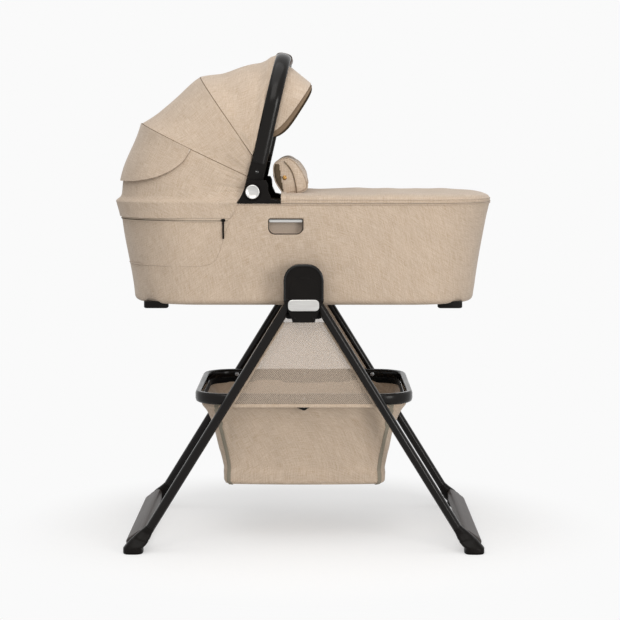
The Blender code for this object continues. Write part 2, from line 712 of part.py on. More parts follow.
def make_mattress():
    """A thin crowned pad on the lining's floor."""
    floor = TUB_BOTTOM + COVER_WALL + TRAY_WALL + LINER_WALL + 3 * GAP
    inset = LINER_INSET + LINER_WALL + MATTRESS_EASE
    rings = [tub_ring(floor, inset, floor), tub_ring(floor + 0.010, inset, floor)]
    rings += [tub_ring(MATTRESS_TOP - 0.008, inset), tub_ring(MATTRESS_TOP - 0.002, inset + 0.007)]
    rings += [tub_ring(MATTRESS_TOP, inset + 0.035)]
    solid("mattress", loft(rings), LINING)


def make_adapter(side_name):
    """The socket on the tub's side that drops over the hub's tongue."""
    side = SIDES[side_name]
    hub_inner = LEG_IN - GAP - HUB_INNER_WALL
    tongue_in = hub_inner + 0.0022
    seat = PIVOT_Z + LEG_WIDE / 2 + 0.0015 + 0.0005 + GAP
    wall_y = tub_extent(ADAPTER_TOP)[2] + GAP
    outer = LEG_IN - GAP
    shape = plain_arch(ADAPTER_HALF, seat, ADAPTER_TOP, 0.012)
    adapter = solid(f"adapter_{side_name}", prism(shape, side * wall_y, side * outer), BLACK_PLASTIC)
    ease = 0.0005
    slot = plain_arch(TONGUE_HALF + ease, seat - 0.01, TONGUE_TOP + ease, 0.008)
    hollow = prism(slot, side * (tongue_in - ease), side * (tongue_in + TONGUE_THICK + ease))
    combine(adapter, "DIFFERENCE", helper(f"cut_socket_{side_name}", hollow))


def grab_outline(grow, top=GRAB_TOP):
    """The finger opening: a flat upper edge and round lower corners."""
    half = GRAB_LONG / 2 + grow
    low, high = GRAB_BOTTOM - grow, top + grow
    r = GRAB_CORNER
    right = arc(GRAB_X + half - r, low + r, r, -90, 0, 4) + [(GRAB_X + half, high)]
    left = [(GRAB_X - half, high)] + arc(GRAB_X - half + r, low + r, r, 180, 270, 4)
    return right + left


def make_grab(side_name):
    """A finger cup behind the opening, with the release lever that slides up in it."""
    side = SIDES[side_name]
    mouth = tub_extent(GRAB_BOTTOM)[2] - COVER_WALL - GAP - 0.0015
    back = mouth - CUP_DEEP
    top = GRAB_TOP + CUP_HEADROOM
    cup = solid(f"grab_cup_{side_name}", prism(grab_outline(CUP_WALL, top), side * back, side * mouth), TAUPE)
    hollow = prism(grab_outline(0.0, top), side * (back + CUP_WALL), side * (mouth + 0.01))
    combine(cup, "DIFFERENCE", helper(f"cut_cup_{side_name}", hollow))
    half = GRAB_LONG / 2 - 0.0005
    high = GRAB_TOP - 0.0010
    bar = rounded(GRAB_X - half, GRAB_X + half, high - LEVER_TALL, high, 0.0025, 3)
    lever = prism(bar, side * (mouth - 0.0005 - LEVER_DEEP), side * (mouth - 0.0005))
    solid(f"release_lever_{side_name}", lever, SILVER)


def make_zip():
    """The zip tape round the head end, its slider and the cord pull."""
    low, high = ZIP_Z - ZIP_TALL / 2, ZIP_Z + ZIP_TALL / 2

    def tape_line(z, inset):
        ring = [p for p in tub_ring(z, inset) if p[0] < ZIP_END_X - 0.02]
        side = abs(ring[0][1])
        return [(ZIP_END_X, side, z)] + ring + [(ZIP_END_X, -side, z)]

    out, inn = -GAP - ZIP_THICK, -GAP
    tape = sheet([tape_line(z, out) for z in (low, high)], [tape_line(z, inn) for z in (low, high)])
    solid("zip_tape", tape, TAPE)
    y = -(tub_extent(ZIP_Z)[2] - out + GAP + 0.0004)
    x = ZIP_END_X - SLIDER_LONG
    long, tall = SLIDER_LONG / 2, SLIDER_TALL / 2
    block = rounded(x - long, x + long, ZIP_Z - tall, ZIP_Z + tall, 0.002)
    slider = solid("zip_slider", prism(block, y, y - SLIDER_THICK), BLACK_PLASTIC)
    half = PULL_WIDE / 2
    tab = rounded(x - half, x + half, ZIP_Z - PULL_LONG, ZIP_Z, half * 0.95, 3)
    pull = prism(tab, y - 0.0008, y - SLIDER_THICK + 0.0008)
    combine(slider, "UNION", helper("add_pull", pull))


# Boot cover


def boot_cover_ring(height, inset):
    """A level section of the boot cover, square at the handle end and round at the foot end."""
    _, foot, wide = tub_extent(TUB_TOP)
    square = 0.006
    corner = FOOT_CORNER - inset
    return plan(-(BOOT_COVER_START + inset), foot - inset, wide - inset, square, corner, RIM_TOP + height)


def make_boot_cover():
    """The crowned cloth cover over the foot end, open towards the head."""
    crown, band, wall = BOOT_COVER_CROWN, BOOT_COVER_BAND, BOOT_COVER_WALL
    base = GAP
    outer = [(base, 0.0), (band, 0.0), (crown * 0.66, 0.006), (crown * 0.84, 0.022), (crown * 0.94, 0.052)]
    outer += [(crown, 0.100)]
    inner = [(crown - wall, 0.100), (crown * 0.94 - wall, 0.052), (crown * 0.84 - wall, 0.026)]
    inner += [(crown * 0.66 - wall, 0.012), (base, wall + 0.004)]
    cover = solid("boot_cover", loft([boot_cover_ring(h, i) for h, i in inner + outer]), MELANGE)
    half = TUB_HALF_WIDE - 0.030
    start = BOOT_COVER_START
    mouth = rounded(-half, half, RIM_TOP - 0.01, RIM_TOP + crown * 0.66 - wall, 0.004, 2)
    cutter = loft([[(x, y, z) for y, z in mouth] for x in (start - 0.02, start + 0.016)])
    combine(cover, "DIFFERENCE", helper("cut_mouth", cutter))


def make_flap():
    """The wind flap at the head edge of the boot cover, folded over and closed with two snaps."""
    crown = BOOT_COVER_CROWN
    low = RIM_TOP + 0.66 * crown + 2 * GAP
    start = FLAP_X
    outline = [(start + 0.014, low), (start + 0.0295, low + 0.2 * crown), (start + 0.058, low + 0.3 * crown)]
    outline += [(start + 0.067, low + 0.020), (start + 0.056, low + 0.046), (start + 0.040, low + 0.069)]
    outline += [(start + 0.028, low + 0.081), (start + 0.017, low + 0.0845), (start + 0.002, low + 0.080)]
    outline += [(start - 0.010, low + 0.072), (start - 0.012, low + 0.054), (start - 0.006, low + 0.028)]
    middle_x = start + 0.026
    rings = []
    for y, size in ((-1.0, 0.90), (-0.96, 0.98), (0.0, 1.0), (0.96, 0.98), (1.0, 0.90)):
        reach = y * FLAP_HALF_WIDE
        rings.append([(middle_x + (x - middle_x) * size, reach, low + (z - low) * size) for x, z in outline])
    solid("boot_flap", loft(rings), MELANGE)
    for side_name, side in SIDES.items():
        back = FLAP_HALF_WIDE + GAP
        profile = [(SNAP_RADIUS, back), (SNAP_RADIUS, back + SNAP_THICK * 0.5)]
        profile += [(SNAP_RADIUS * 0.6, back + SNAP_THICK)]
        solid(f"flap_snap_{side_name}", turned(profile, SNAP_X, SNAP_Z, side, 12), BRASS)


# Carry handle


def turned_point(angle, reach, off=0.0):
    """(x, z) at a reach from the handle pivot, and off to its rear. Angles are from the foot end."""
    a = math.radians(angle)
    x = HANDLE_X + reach * math.cos(a) - off * math.sin(a)
    z = HANDLE_Z + reach * math.sin(a) + off * math.cos(a)
    return x, z


def on_plane(angle, y, reach, off=0.0):
    """A point of an arch that stands across the tub at an angle."""
    x, z = turned_point(angle, reach, off)
    return Vector((x, y, z))


def make_bail():
    """The flattened tube of the carry handle, from one knuckle over to the other."""
    top = HANDLE_REACH - BAIL_THICK / 2
    corner = BAIL_CORNER
    right = [(HANDLE_Y, KNUCKLE_TOP + GAP), (HANDLE_Y, top - corner)]
    right += arc(HANDLE_Y - corner, top - corner, corner, 0, 90, 8)[1:]
    flat = right + [(-y, reach) for y, reach in reversed(right)]
    path = [on_plane(HANDLE_ANGLE, y, reach) for y, reach in flat]
    a = math.radians(HANDLE_ANGLE)
    across = (-math.sin(a), 0.0, math.cos(a))
    section = oval(BAIL_WIDE / 2, BAIL_THICK / 2, 2.8, 14)
    solid("carry_handle", swept(path, section, across), BLACK_SATIN)
    outer = oval(BAIL_WIDE / 2 + GAP + GRIP_WALL, BAIL_THICK / 2 + GAP + GRIP_WALL, 2.6, 14)
    inner = oval(BAIL_WIDE / 2 + GAP, BAIL_THICK / 2 + GAP, 2.8, 14)
    half = min(GRIP_HALF, HANDLE_Y - corner)
    other = Vector((math.cos(a), 0.0, math.sin(a)))
    rings = []
    for y, section in ((-half, outer), (half, outer), (half, inner), (-half, inner)):
        centre = on_plane(HANDLE_ANGLE, y, top)
        rings.append([centre + u * Vector(across) + v * other for u, v in section])
    solid("handle_grip", loft(rings, joined=True), LEATHER)


def make_knuckle(side_name):
    """The turning end of the handle, with a pocket for the release button and its spring."""
    side = SIDES[side_name]
    r = KNUCKLE_RADIUS
    half = BAIL_WIDE / 2
    eye = arc(0.0, 0.0, r, 90 + 70, 360 + 90 - 70, 12)
    shape = eye + [(half, 0.016), (half, KNUCKLE_TOP), (-half, KNUCKLE_TOP), (-half, 0.016)]
    outline = [turned_point(HANDLE_ANGLE, reach, -off) for off, reach in shape]
    knuckle = solid(
        f"handle_knuckle_{side_name}", prism(outline, side * KNUCKLE_IN, side * KNUCKLE_OUT), BLACK_PLASTIC
    )
    pocket = BUTTON_RADIUS + RUNNING
    bore = PIVOT_PIN_RADIUS + RUNNING
    cutter = bmesh.new()
    floor = KNUCKLE_OUT - BUTTON_POCKET
    turned([(pocket, floor), (pocket, KNUCKLE_OUT + 0.01)], HANDLE_X, HANDLE_Z, side, bm=cutter)
    deep = KNUCKLE_IN + PIVOT_PIN_DEEP + RUNNING
    turned([(bore, KNUCKLE_IN - 0.01), (bore, deep)], HANDLE_X, HANDLE_Z, side, bm=cutter)
    combine(knuckle, "DIFFERENCE", helper(f"cut_knuckle_{side_name}", cutter))


def make_base(side_name):
    """The forked bracket on the rim that holds a knuckle between two ears."""
    side = SIDES[side_name]
    ease = 0.0004
    inn, out = KNUCKLE_IN - ease - EAR_THICK, KNUCKLE_OUT + ease + EAR_THICK
    low = RIM_TOP + GAP
    foot = low + BASE_FOOT_THICK
    gap_in, gap_out = KNUCKLE_IN - ease, KNUCKLE_OUT + ease
    fork = [(inn, low), (out, low), (out, BASE_TOP), (gap_out, BASE_TOP), (gap_out, foot)]
    fork += [(gap_in, foot), (gap_in, BASE_TOP), (inn, BASE_TOP)]
    x0, x1 = HANDLE_X - 0.032, HANDLE_X + 0.060
    channel = loft([[(x, side * y, z) for y, z in fork] for x in (x0 - 0.01, x1 + 0.01)])
    base = solid(f"handle_base_{side_name}", channel, BLACK_PLASTIC)
    top = BASE_TOP - 0.001
    mid = HANDLE_Z
    shape = [(x0, low - 0.01), (x1, low - 0.01), (x1, low + 0.005), (x1 - 0.020, low + 0.009)]
    shape += [(x1 - 0.027, mid), (x1 - 0.028, top - 0.008), (x1 - 0.032, top), (x0 + 0.018, top)]
    shape += [(x0 + 0.012, top - 0.006), (x0 + 0.004, mid - 0.006), (x0, low + 0.003)]
    keep = prism(shape, side * (inn - 0.01), side * (out + 0.01))
    combine(base, "INTERSECT", helper(f"keep_base_{side_name}", keep))
    hole = BUTTON_RADIUS + RUNNING
    cutter = turned([(hole, KNUCKLE_OUT - 0.002), (hole, out + 0.01)], HANDLE_X, HANDLE_Z, side)
    combine(base, "DIFFERENCE", helper(f"cut_base_{side_name}", cutter))
    pin = bmesh.new()
    r = PIVOT_PIN_RADIUS
    turned([(r, gap_in - 0.002), (r, KNUCKLE_IN + PIVOT_PIN_DEEP)], HANDLE_X, HANDLE_Z, side, bm=pin)
    bow_end = inn - 2 * BOW_EYE_THICK - 3 * GAP
    turned([(BOW_PIN_RADIUS, bow_end), (BOW_PIN_RADIUS, inn + 0.002)], HANDLE_X, HANDLE_Z, side, 12, bm=pin)
    combine(base, "UNION", helper(f"add_pins_{side_name}", pin))


def make_button(side_name):
    """The round release button, dished on its face, that slides in against a spring."""
    side = SIDES[side_name]
    r = BUTTON_RADIUS
    face = KNUCKLE_OUT + 0.0004 + EAR_THICK + BUTTON_PROUD
    back = KNUCKLE_OUT + 0.0008
    profile = [(r, back), (r, face - 0.001), (r - 0.001, face)]
    profile += [(r - 0.0035, face), (r - 0.0045, face - 0.0012)]
    solid(f"handle_button_{side_name}", turned(profile, HANDLE_X, HANDLE_Z, side, 20), SILVER)


# Canopy


def arch(top, half_wide, corner, start, draw):
    """Half arch and its mirror image as (y, reach) points, drawn in near the pivot."""
    right = [(half_wide - draw, start), (half_wide - draw / 4, start + 0.055), (half_wide, top - corner)]
    right += arc(half_wide - corner, top - corner, corner, 0, 90, 6)[1:]
    return [(y, reach) for y, reach in right] + [(-y, reach) for y, reach in reversed(right)]


def fan_row(x, z, angle, start, top, half_wide, draw=0.004, inset=0.0):
    """One arch of cloth, in a plane through (x, z). The inset moves it inwards."""
    a = math.radians(angle)
    points = arch(top - inset, half_wide - inset, CANOPY_CORNER, start, draw)
    return [Vector((x + reach * math.cos(a), y, z + reach * math.sin(a))) for y, reach in points]


def canopy_panel(name, rows):
    """A panel through several arches, one layer of cloth thick."""
    outer = [fan_row(*row) for row in rows]
    inner = [fan_row(*row, inset=FABRIC) for row in rows]
    return solid(name, sheet(outer, inner), MELANGE)


def front_rows():
    """Arches of the front panel: from the handle to the front bow."""
    wide = CANOPY_HALF_WIDE
    off = BAIL_WIDE / 2 + GRIP_WALL + 2 * GAP
    x, z = turned_point(HANDLE_ANGLE, 0.0, off)
    first, last = HANDLE_REACH - 0.003, BOW_FRONT_REACH
    shares = ((0.0, first), (0.25, 0.884 * first), (0.5, 0.834 * first), (0.75, 0.961 * last), (1.0, last))
    rows = []
    for t, top in shares:
        angle = HANDLE_ANGLE + (BOW_FRONT_ANGLE - SEAM_HALF_GAP - HANDLE_ANGLE) * t
        start = 0.085 + (0.065 - 0.085) * t
        rows.append((x + (FAN_X - x) * t, z + (FAN_Z - z) * t, angle, start, top, wide - 0.001 * (1 - t)))
    return rows


def middle_rows():
    """Arches of the middle panel, between the bows."""
    wide = CANOPY_HALF_WIDE
    first, last = BOW_FRONT_ANGLE + SEAM_HALF_GAP, BOW_REAR_ANGLE - SEAM_HALF_GAP
    near, far = BOW_FRONT_REACH, BOW_REAR_REACH
    tops = (near, 1.028 * near, 1.027 * near, 1.039 * near, 0.916 * far, far - 0.001)
    rows = []
    for k, top in enumerate(tops):
        t = k / (len(tops) - 1)
        angle = first + (last - first) * t
        rows.append((FAN_X, FAN_Z, angle, 0.065 + (CANOPY_START - 0.065) * t, top, wide + 0.002 * t))
    return rows


def rear_rows():
    """Arches of the rear panel: from the rear bow down to the rim, and a skirt down to the zip."""
    wide = CANOPY_HALF_WIDE
    rows = []
    rim_reach = TUB_HEAD + FAN_X
    first = BOW_REAR_ANGLE + SEAM_HALF_GAP
    for k, share in enumerate((0.905, 0.904, 0.925, 0.955)):
        angle = first + (178.1 - first) * k / 3
        rows.append((FAN_X, FAN_Z, angle, CANOPY_START, share * rim_reach, wide + 0.002 + 0.001 * k))
    rows.append((FAN_X, FAN_Z - 0.020, 180.0, 0.064, 0.966 * rim_reach, wide + 0.006, 0.001))
    for z in (RIM_TOP + 0.003, TUB_TOP - 0.0005, TUB_TOP - 0.014, ZIP_Z + ZIP_TALL / 2 + GAP):
        head, _, side = tub_extent(min(z, TUB_TOP))
        out = FABRIC + 0.0006
        rows.append((FAN_X, z, 180.0, 0.064, head + FAN_X + out, side + out, 0.0))
    return rows


def make_canopy():
    """Three panels between the handle, the two bows and the rim, and the vent flap at the back."""
    canopy_panel("canopy_front", front_rows())
    canopy_panel("canopy_middle", middle_rows())
    canopy_panel("canopy_rear", rear_rows())
    first, last = 3, 14
    outer, inner = [], []
    for row in rear_rows()[:4]:
        outer.append(fan_row(*row, inset=-VENT_CLEAR - FABRIC)[first : last + 1])
        inner.append(fan_row(*row, inset=-VENT_CLEAR)[first : last + 1])
    solid("vent_flap", sheet(outer, inner), MELANGE)


def make_bow(name, angle, reach, eye_order, sides):
    """A thin bow under a canopy seam. Its arms bend down to eyes on the bracket's stub pins."""
    ease = 0.0004
    inn = KNUCKLE_IN - ease - EAR_THICK
    eye_out = inn - GAP - eye_order * (BOW_EYE_THICK + GAP)
    eye_mid = eye_out - BOW_EYE_THICK / 2
    wide = CANOPY_HALF_WIDE - FABRIC - GAP - BOW_RADIUS
    top = reach - FABRIC - 2 * GAP - BOW_RADIUS
    corner = CANOPY_CORNER
    a = math.radians(angle)
    corner_arc = arc(wide - corner, top - corner, corner, 0, 90, 6)
    right = list(sides) + [p for p in corner_arc if p[1] > sides[-1][1] + 0.008]
    arch_part = [(FAN_X + r * math.cos(a), y, FAN_Z + r * math.sin(a)) for y, r in right]
    foot = Vector((arch_part[0][0] - HANDLE_X, 0.0, arch_part[0][2] - HANDLE_Z))
    pin = Vector((HANDLE_X, eye_mid, HANDLE_Z))
    arm = [pin + foot.normalized() * (BOW_PIN_RADIUS + 0.002), pin + foot * 0.5]
    half = [Vector(p) for p in arm + arch_part]
    path = half + [Vector((p.x, -p.y, p.z)) for p in reversed(half)]
    section = oval(BOW_RADIUS, BOW_RADIUS, 2.0, 6)
    bow = solid(name, swept(path, section, (-math.sin(a), 0.0, math.cos(a))), GREY_PLASTIC)
    eyes, holes = bmesh.new(), bmesh.new()
    hole = BOW_PIN_RADIUS + RUNNING
    for side in SIDES.values():
        eye = [(BOW_EYE_RADIUS, eye_out - BOW_EYE_THICK), (BOW_EYE_RADIUS, eye_out)]
        turned(eye, HANDLE_X, HANDLE_Z, side, 12, bm=eyes)
        turned([(hole, inn - 0.02), (hole, inn + 0.004)], HANDLE_X, HANDLE_Z, side, 12, bm=holes)
    combine(bow, "UNION", helper("add_eyes_" + name, eyes))
    combine(bow, "DIFFERENCE", helper("cut_eyes_" + name, holes))


def make_visor():
    """The stiffened sun visor in front of the handle, inside the bail so that it folds under the canopy."""
    top = HANDLE_REACH - BAIL_THICK - GRIP_WALL - 3 * GAP
    wide = BAIL_IN - GAP
    corner = BAIL_CORNER - BAIL_THICK / 2 + 0.0003
    off = 0.0

    def rows(inset):
        t, w = top - inset, wide - inset
        right = [(w, VISOR_START), (w, (VISOR_START + t - corner) / 2), (w, t - corner)]
        right += arc(w - corner, t - corner, corner, 0, 90, 6)[1:]
        columns = right + [(-y, r) for y, r in reversed(right)]
        back, middle, front = [], [], []
        for y, reach in columns:
            root = on_plane(HANDLE_ANGLE, y, reach, off)
            rise = (reach - VISOR_START) / (t - VISOR_START)
            long = VISOR_SIDE_LONG + (VISOR_LONG - VISOR_SIDE_LONG) * math.sin(rise * math.pi / 2)
            fall = math.radians(-41.0 * rise**3)
            reachout = Vector((math.cos(fall), 0.0, math.sin(fall)))
            back.append(root)
            middle.append(root + reachout * long * 0.5 + Vector((0, 0, 0.002)))
            front.append(root + reachout * long)
        return [back, middle, front]

    solid("canopy_visor", sheet(rows(0.0), rows(FABRIC)), MELANGE)


# Build

for old in list(bpy.data.objects):
    bpy.data.objects.remove(old, do_unlink=True)

BLACK_SATIN = finish("satin_black_anodised", "1C1A19", 0.38, 0.6)
BLACK_PLASTIC = finish("black_moulded_plastic", "1A1918", 0.45)
BROWN_BLACK = finish("brown_black_moulding", "2C2624", 0.48)
GREY_PLASTIC = finish("grey_plastic", "6E6A66", 0.6)
SILVER = finish("satin_silver", "C9C8C6", 0.3, 0.9)
STEEL = finish("zinc_plated_steel", "A9A9A8", 0.35, 1.0)
ALUMINIUM = finish("raw_aluminium", "B9BABB", 0.4, 1.0)
BRASS = finish("aged_brass", "9A7B45", 0.35, 1.0)
LEATHER = finish("brown_leatherette", "4A382E", 0.55)
MELANGE = finish("beige_melange_cloth", "C8B49F", 0.9)
LINING = finish("pale_lining_cloth", "C9C0B4", 0.9)
TAUPE = finish("taupe_moulding", "8F8074", 0.6)
TAPE = finish("beige_zip_tape", "CDBBA6", 0.85)
NET = finish("beige_net", "C4B09A", 0.9, 0.0, 0.55)

for end_label in ENDS:
    for side_label in SIDES:
        make_leg(end_label, side_label)
        make_hoop_pin(end_label, side_label)
    make_feet(end_label)
    make_hoop(end_label)
make_basket()
make_tub_cover()
make_tray()
make_liner()
make_rim_frame()
make_mattress()
make_zip()
make_boot_cover()
make_flap()
make_bail()
make_canopy()
make_bow("bow_front", BOW_FRONT_ANGLE, BOW_FRONT_REACH, 0, ((0.1876, 0.065), (0.1876, 0.155)))
make_bow("bow_rear", BOW_REAR_ANGLE, BOW_REAR_REACH, 1, ((0.1746, 0.060), (0.1765, 0.105), (0.1835, 0.140)))
make_visor()
for side_label in SIDES:
    make_hub(side_label)
    make_net(side_label)
    make_adapter(side_label)
    make_grab(side_label)
    make_knuckle(side_label)
    make_base(side_label)
    make_button(side_label)
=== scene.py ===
"""Looks of a bassinet that stands on a folding frame with a hoop basket.

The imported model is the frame. The head end is along -X and the foot end along +X. The camera is on the -Y
side.
"""

import math

import bmesh
import bpy
import numpy as np
from mathutils import Matrix, Vector


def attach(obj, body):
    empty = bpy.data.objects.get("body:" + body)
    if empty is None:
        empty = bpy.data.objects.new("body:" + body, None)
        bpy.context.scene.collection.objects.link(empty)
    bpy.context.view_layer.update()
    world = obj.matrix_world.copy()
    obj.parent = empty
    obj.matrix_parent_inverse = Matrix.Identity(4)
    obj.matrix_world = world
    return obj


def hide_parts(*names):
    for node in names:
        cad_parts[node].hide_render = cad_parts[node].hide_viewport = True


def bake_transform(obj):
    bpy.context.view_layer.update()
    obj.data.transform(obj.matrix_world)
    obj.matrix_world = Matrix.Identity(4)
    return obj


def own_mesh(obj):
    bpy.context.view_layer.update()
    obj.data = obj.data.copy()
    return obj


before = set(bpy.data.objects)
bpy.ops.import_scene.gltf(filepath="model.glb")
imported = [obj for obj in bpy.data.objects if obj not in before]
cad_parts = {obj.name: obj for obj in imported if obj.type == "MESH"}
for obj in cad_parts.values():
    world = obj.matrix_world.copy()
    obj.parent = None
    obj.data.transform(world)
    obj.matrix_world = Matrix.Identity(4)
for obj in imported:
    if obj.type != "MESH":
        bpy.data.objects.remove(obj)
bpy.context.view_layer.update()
scene = bpy.context.scene


# Studio
# A white sweep under large soft lamps, as for a catalogue picture. The camera stands off the left side with a
# long lens, level with the canopy.

BACKGROUND = "FAFAFA"
AMBIENT = 0.42
FLOOR_PAINT, FLOOR_LIT, FLOOR_LIFT = "D9D8D6", "C2C2C2", 0.47
CAMERA_PLACE = (0.021, -4.17, 0.898)
CAMERA_TURN = (math.radians(84.55), 0.0, math.radians(0.11))
CAMERA_LENS = 107.5
FLOOR_HALF = 9.0
FLOOR_FADE = (0.42, 0.74)  # distances from the middle at which the floor starts and ends to fade


def linear(hex_colour):
    """Linear RGBA of an sRGB hex colour."""
    out = []
    for k in (0, 2, 4):
        c = int(hex_colour[k : k + 2], 16) / 255
        out.append(c / 12.92 if c <= 0.04045 else ((c + 0.055) / 1.055) ** 2.4)
    return (*out, 1.0)


def add(tree, kind, inputs=None, **settings):
    """Adds a node with its settings. An input is a value, or another node's output to link from."""
    made = tree.nodes.new(kind)
    for key, value in settings.items():
        setattr(made, key, value)
    for key, value in (inputs or {}).items():
        if isinstance(value, bpy.types.NodeSocket):
            tree.links.new(value, made.inputs[key])
        else:
            made.inputs[key].default_value = value
    return made


def blank_material(name):
    """A material of a slot, with an empty node tree."""
    material = bpy.data.materials.new(name)
    material.use_nodes = True
    material.node_tree.nodes.clear()
    return material


def seen_share(tree):
    """1 for rays from the camera, mirrors and glass, and 0 for light on its way round the studio."""
    rays = add(tree, "ShaderNodeLightPath")
    mirror = add(tree, "ShaderNodeMath",
                 {0: rays.outputs["Is Glossy Ray"], 1: rays.outputs["Is Transmission Ray"]}, operation="ADD")
    seen = add(tree, "ShaderNodeMath", {0: mirror.outputs[0], 1: rays.outputs["Is Camera Ray"]},
               operation="ADD", use_clamp=True)
    return seen.outputs[0]


camera = bpy.data.objects.new("camera", bpy.data.cameras.new("camera"))
camera.location = CAMERA_PLACE
camera.rotation_euler = CAMERA_TURN
camera.data.lens = CAMERA_LENS
camera.data.sensor_width = 36.0
camera.data.clip_end = 60.0
scene.collection.objects.link(camera)
scene.camera = camera
scene.view_settings.view_transform = "Standard"

# name, where it hangs, what it points at, side of the square, watts, colour
for name, hung, aim, size, power, colour in (
    ("key", (-0.3, -3.1, 3.0), (0.0, 0.0, 0.62), 2.2, 45.0, "FFFCF8"),
    ("side", (2.2, -3.2, 1.0), (0.0, 0.0, 0.5), 1.2, 42.0, "FFFDFA"),
    ("top", (-0.2, -0.6, 3.6), (0.0, 0.0, 0.5), 3.0, 42.0, "FFFFFF"),
):
    lamp = bpy.data.lights.new(name, "AREA")
    lamp.size = size
    lamp.energy = power
    lamp.color = linear(colour)[:3]
    stand = bpy.data.objects.new(name, lamp)
    stand.location = hung
    stand.rotation_euler = (Vector(aim) - Vector(hung)).to_track_quat("-Z", "Y").to_euler()
    stand.visible_camera = False
    scene.collection.objects.link(stand)

world = bpy.data.worlds.new("studio_white")
world.use_nodes = True
tree = world.node_tree
tree.nodes.clear()
soft = add(tree, "ShaderNodeBackground", {"Color": linear("FFFFFF"), "Strength": AMBIENT})
white = add(tree, "ShaderNodeBackground", {"Color": linear(BACKGROUND), "Strength": 1.0})
mixed = add(tree, "ShaderNodeMixShader", {0: seen_share(tree), 1: soft.outputs[0], 2: white.outputs[0]})
add(tree, "ShaderNodeOutputWorld", {"Surface": mixed.outputs[0]})
scene.world = world

# Painted floor: eyes and mirrors see it lifted to near white with the object's shadow kept, and fading to the
# background further out. Other light bounces off plain paint.
floor_paint = blank_material("painted_studio_floor")
tree = floor_paint.node_tree
spot = add(tree, "ShaderNodeTexCoord")
away = add(tree, "ShaderNodeVectorMath", {0: spot.outputs["Object"]}, operation="LENGTH")
far = add(tree, "ShaderNodeMapRange", {"Value": away.outputs["Value"], "From Min": FLOOR_FADE[0],
          "From Max": FLOOR_FADE[1]}, interpolation_type="SMOOTHSTEP")
paint = add(tree, "ShaderNodeBsdfDiffuse", {"Color": linear(FLOOR_PAINT)})
lit = add(tree, "ShaderNodeBsdfDiffuse", {"Color": linear(FLOOR_LIT)})
lift = add(tree, "ShaderNodeEmission", {"Color": linear("FFFFFF"), "Strength": FLOOR_LIFT})
near = add(tree, "ShaderNodeAddShader", {0: lit.outputs[0], 1: lift.outputs[0]})
backdrop = add(tree, "ShaderNodeEmission", {"Color": linear(BACKGROUND), "Strength": 1.0})
view = add(tree, "ShaderNodeMixShader", {0: far.outputs[0], 1: near.outputs[0], 2: backdrop.outputs[0]})
shown = add(tree, "ShaderNodeMixShader", {0: seen_share(tree), 1: paint.outputs[0], 2: view.outputs[0]})
add(tree, "ShaderNodeOutputMaterial", {"Surface": shown.outputs[0]})

floor_mesh = bpy.data.meshes.new("studio_floor")
corners = [(x * FLOOR_HALF, y * FLOOR_HALF, 0) for x, y in ((-1, -1), (1, -1), (1, 1), (-1, 1))]
floor_mesh.from_pydata(corners, [], [(0, 1, 2, 3)])
floor_mesh.materials.append(floor_paint)
floor = bpy.data.objects.new("studio_floor", floor_mesh)
scene.collection.objects.link(floor)


# Legs
# Four drawn aluminium tubes of an oval section, anodised black with a satin surface. Each turns on a stub pin
# inside its hub, and its lower end is pressed into a shoe.

PIVOT_X, PIVOT_Z = 0.032, 0.5355
FOOT_X = 0.363
LEG_Y = 0.245
LEG_WIDE, LEG_DEEP = 0.020, 0.024
BOOT_RISE = 0.062
LEG_ANGLE = math.atan2(FOOT_X - PIVOT_X, PIVOT_Z)
LEG_LONG = PIVOT_Z / math.cos(LEG_ANGLE)
GAP = 0.0003
SIDES = {"left": -1.0, "right": 1.0}
ENDS = {"head": -1.0, "foot": 1.0}


def leg_point(end, along, off=0.0):
    """(x, z) on a leg, a distance down from its pivot, and off towards the outer edge."""
    x = PIVOT_X + along * math.sin(LEG_ANGLE) + off * math.cos(LEG_ANGLE)
    z = PIVOT_Z - along * math.cos(LEG_ANGLE) + off * math.sin(LEG_ANGLE)
    return end * x, z


def oval(half_u, half_v, power, steps):
    """A superellipse: power 2 is an ellipse, more is squarer."""
    turn = 2 * np.pi * (np.arange(steps) + 0.5) / steps
    c, s = np.cos(turn), np.sin(turn)
    u = half_u * np.sign(c) * np.abs(c) ** (2 / power)
    v = half_v * np.sign(s) * np.abs(s) ** (2 / power)
    return np.stack([u, v], axis=1)


def through(rows, count, closed=False):
    """A smooth curve through the given rows of numbers, sampled at even steps from row to row."""
    rows = np.asarray(rows, float)
    last = len(rows) if closed else len(rows) - 1
    t = np.linspace(0, last, count, endpoint=not closed)
    k = np.minimum(t.astype(int), last - 1)
    f = (t - k).reshape((-1,) + (1,) * (rows.ndim - 1))

    def at(i):
        return rows[i % len(rows)] if closed else rows[np.clip(i, 0, len(rows) - 1)]

    p0, p1, p2, p3 = at(k - 1), at(k), at(k + 1), at(k + 2)
    return 0.5 * (2 * p1 + (p2 - p0) * f + (2 * p0 - 5 * p1 + 4 * p2 - p3) * f**2
                  + (3 * p1 - p0 - 3 * p2 + p3) * f**3)


def spaced(path, count):
    """The same polyline with its points at even distances."""
    path = np.asarray(path, float)
    run = np.concatenate([[0.0], np.cumsum(np.linalg.norm(np.diff(path, axis=0), axis=1))])
    at = np.linspace(0, run[-1], count)
    return np.stack([np.interp(at, run, path[:, k]) for k in range(path.shape[1])], axis=1)


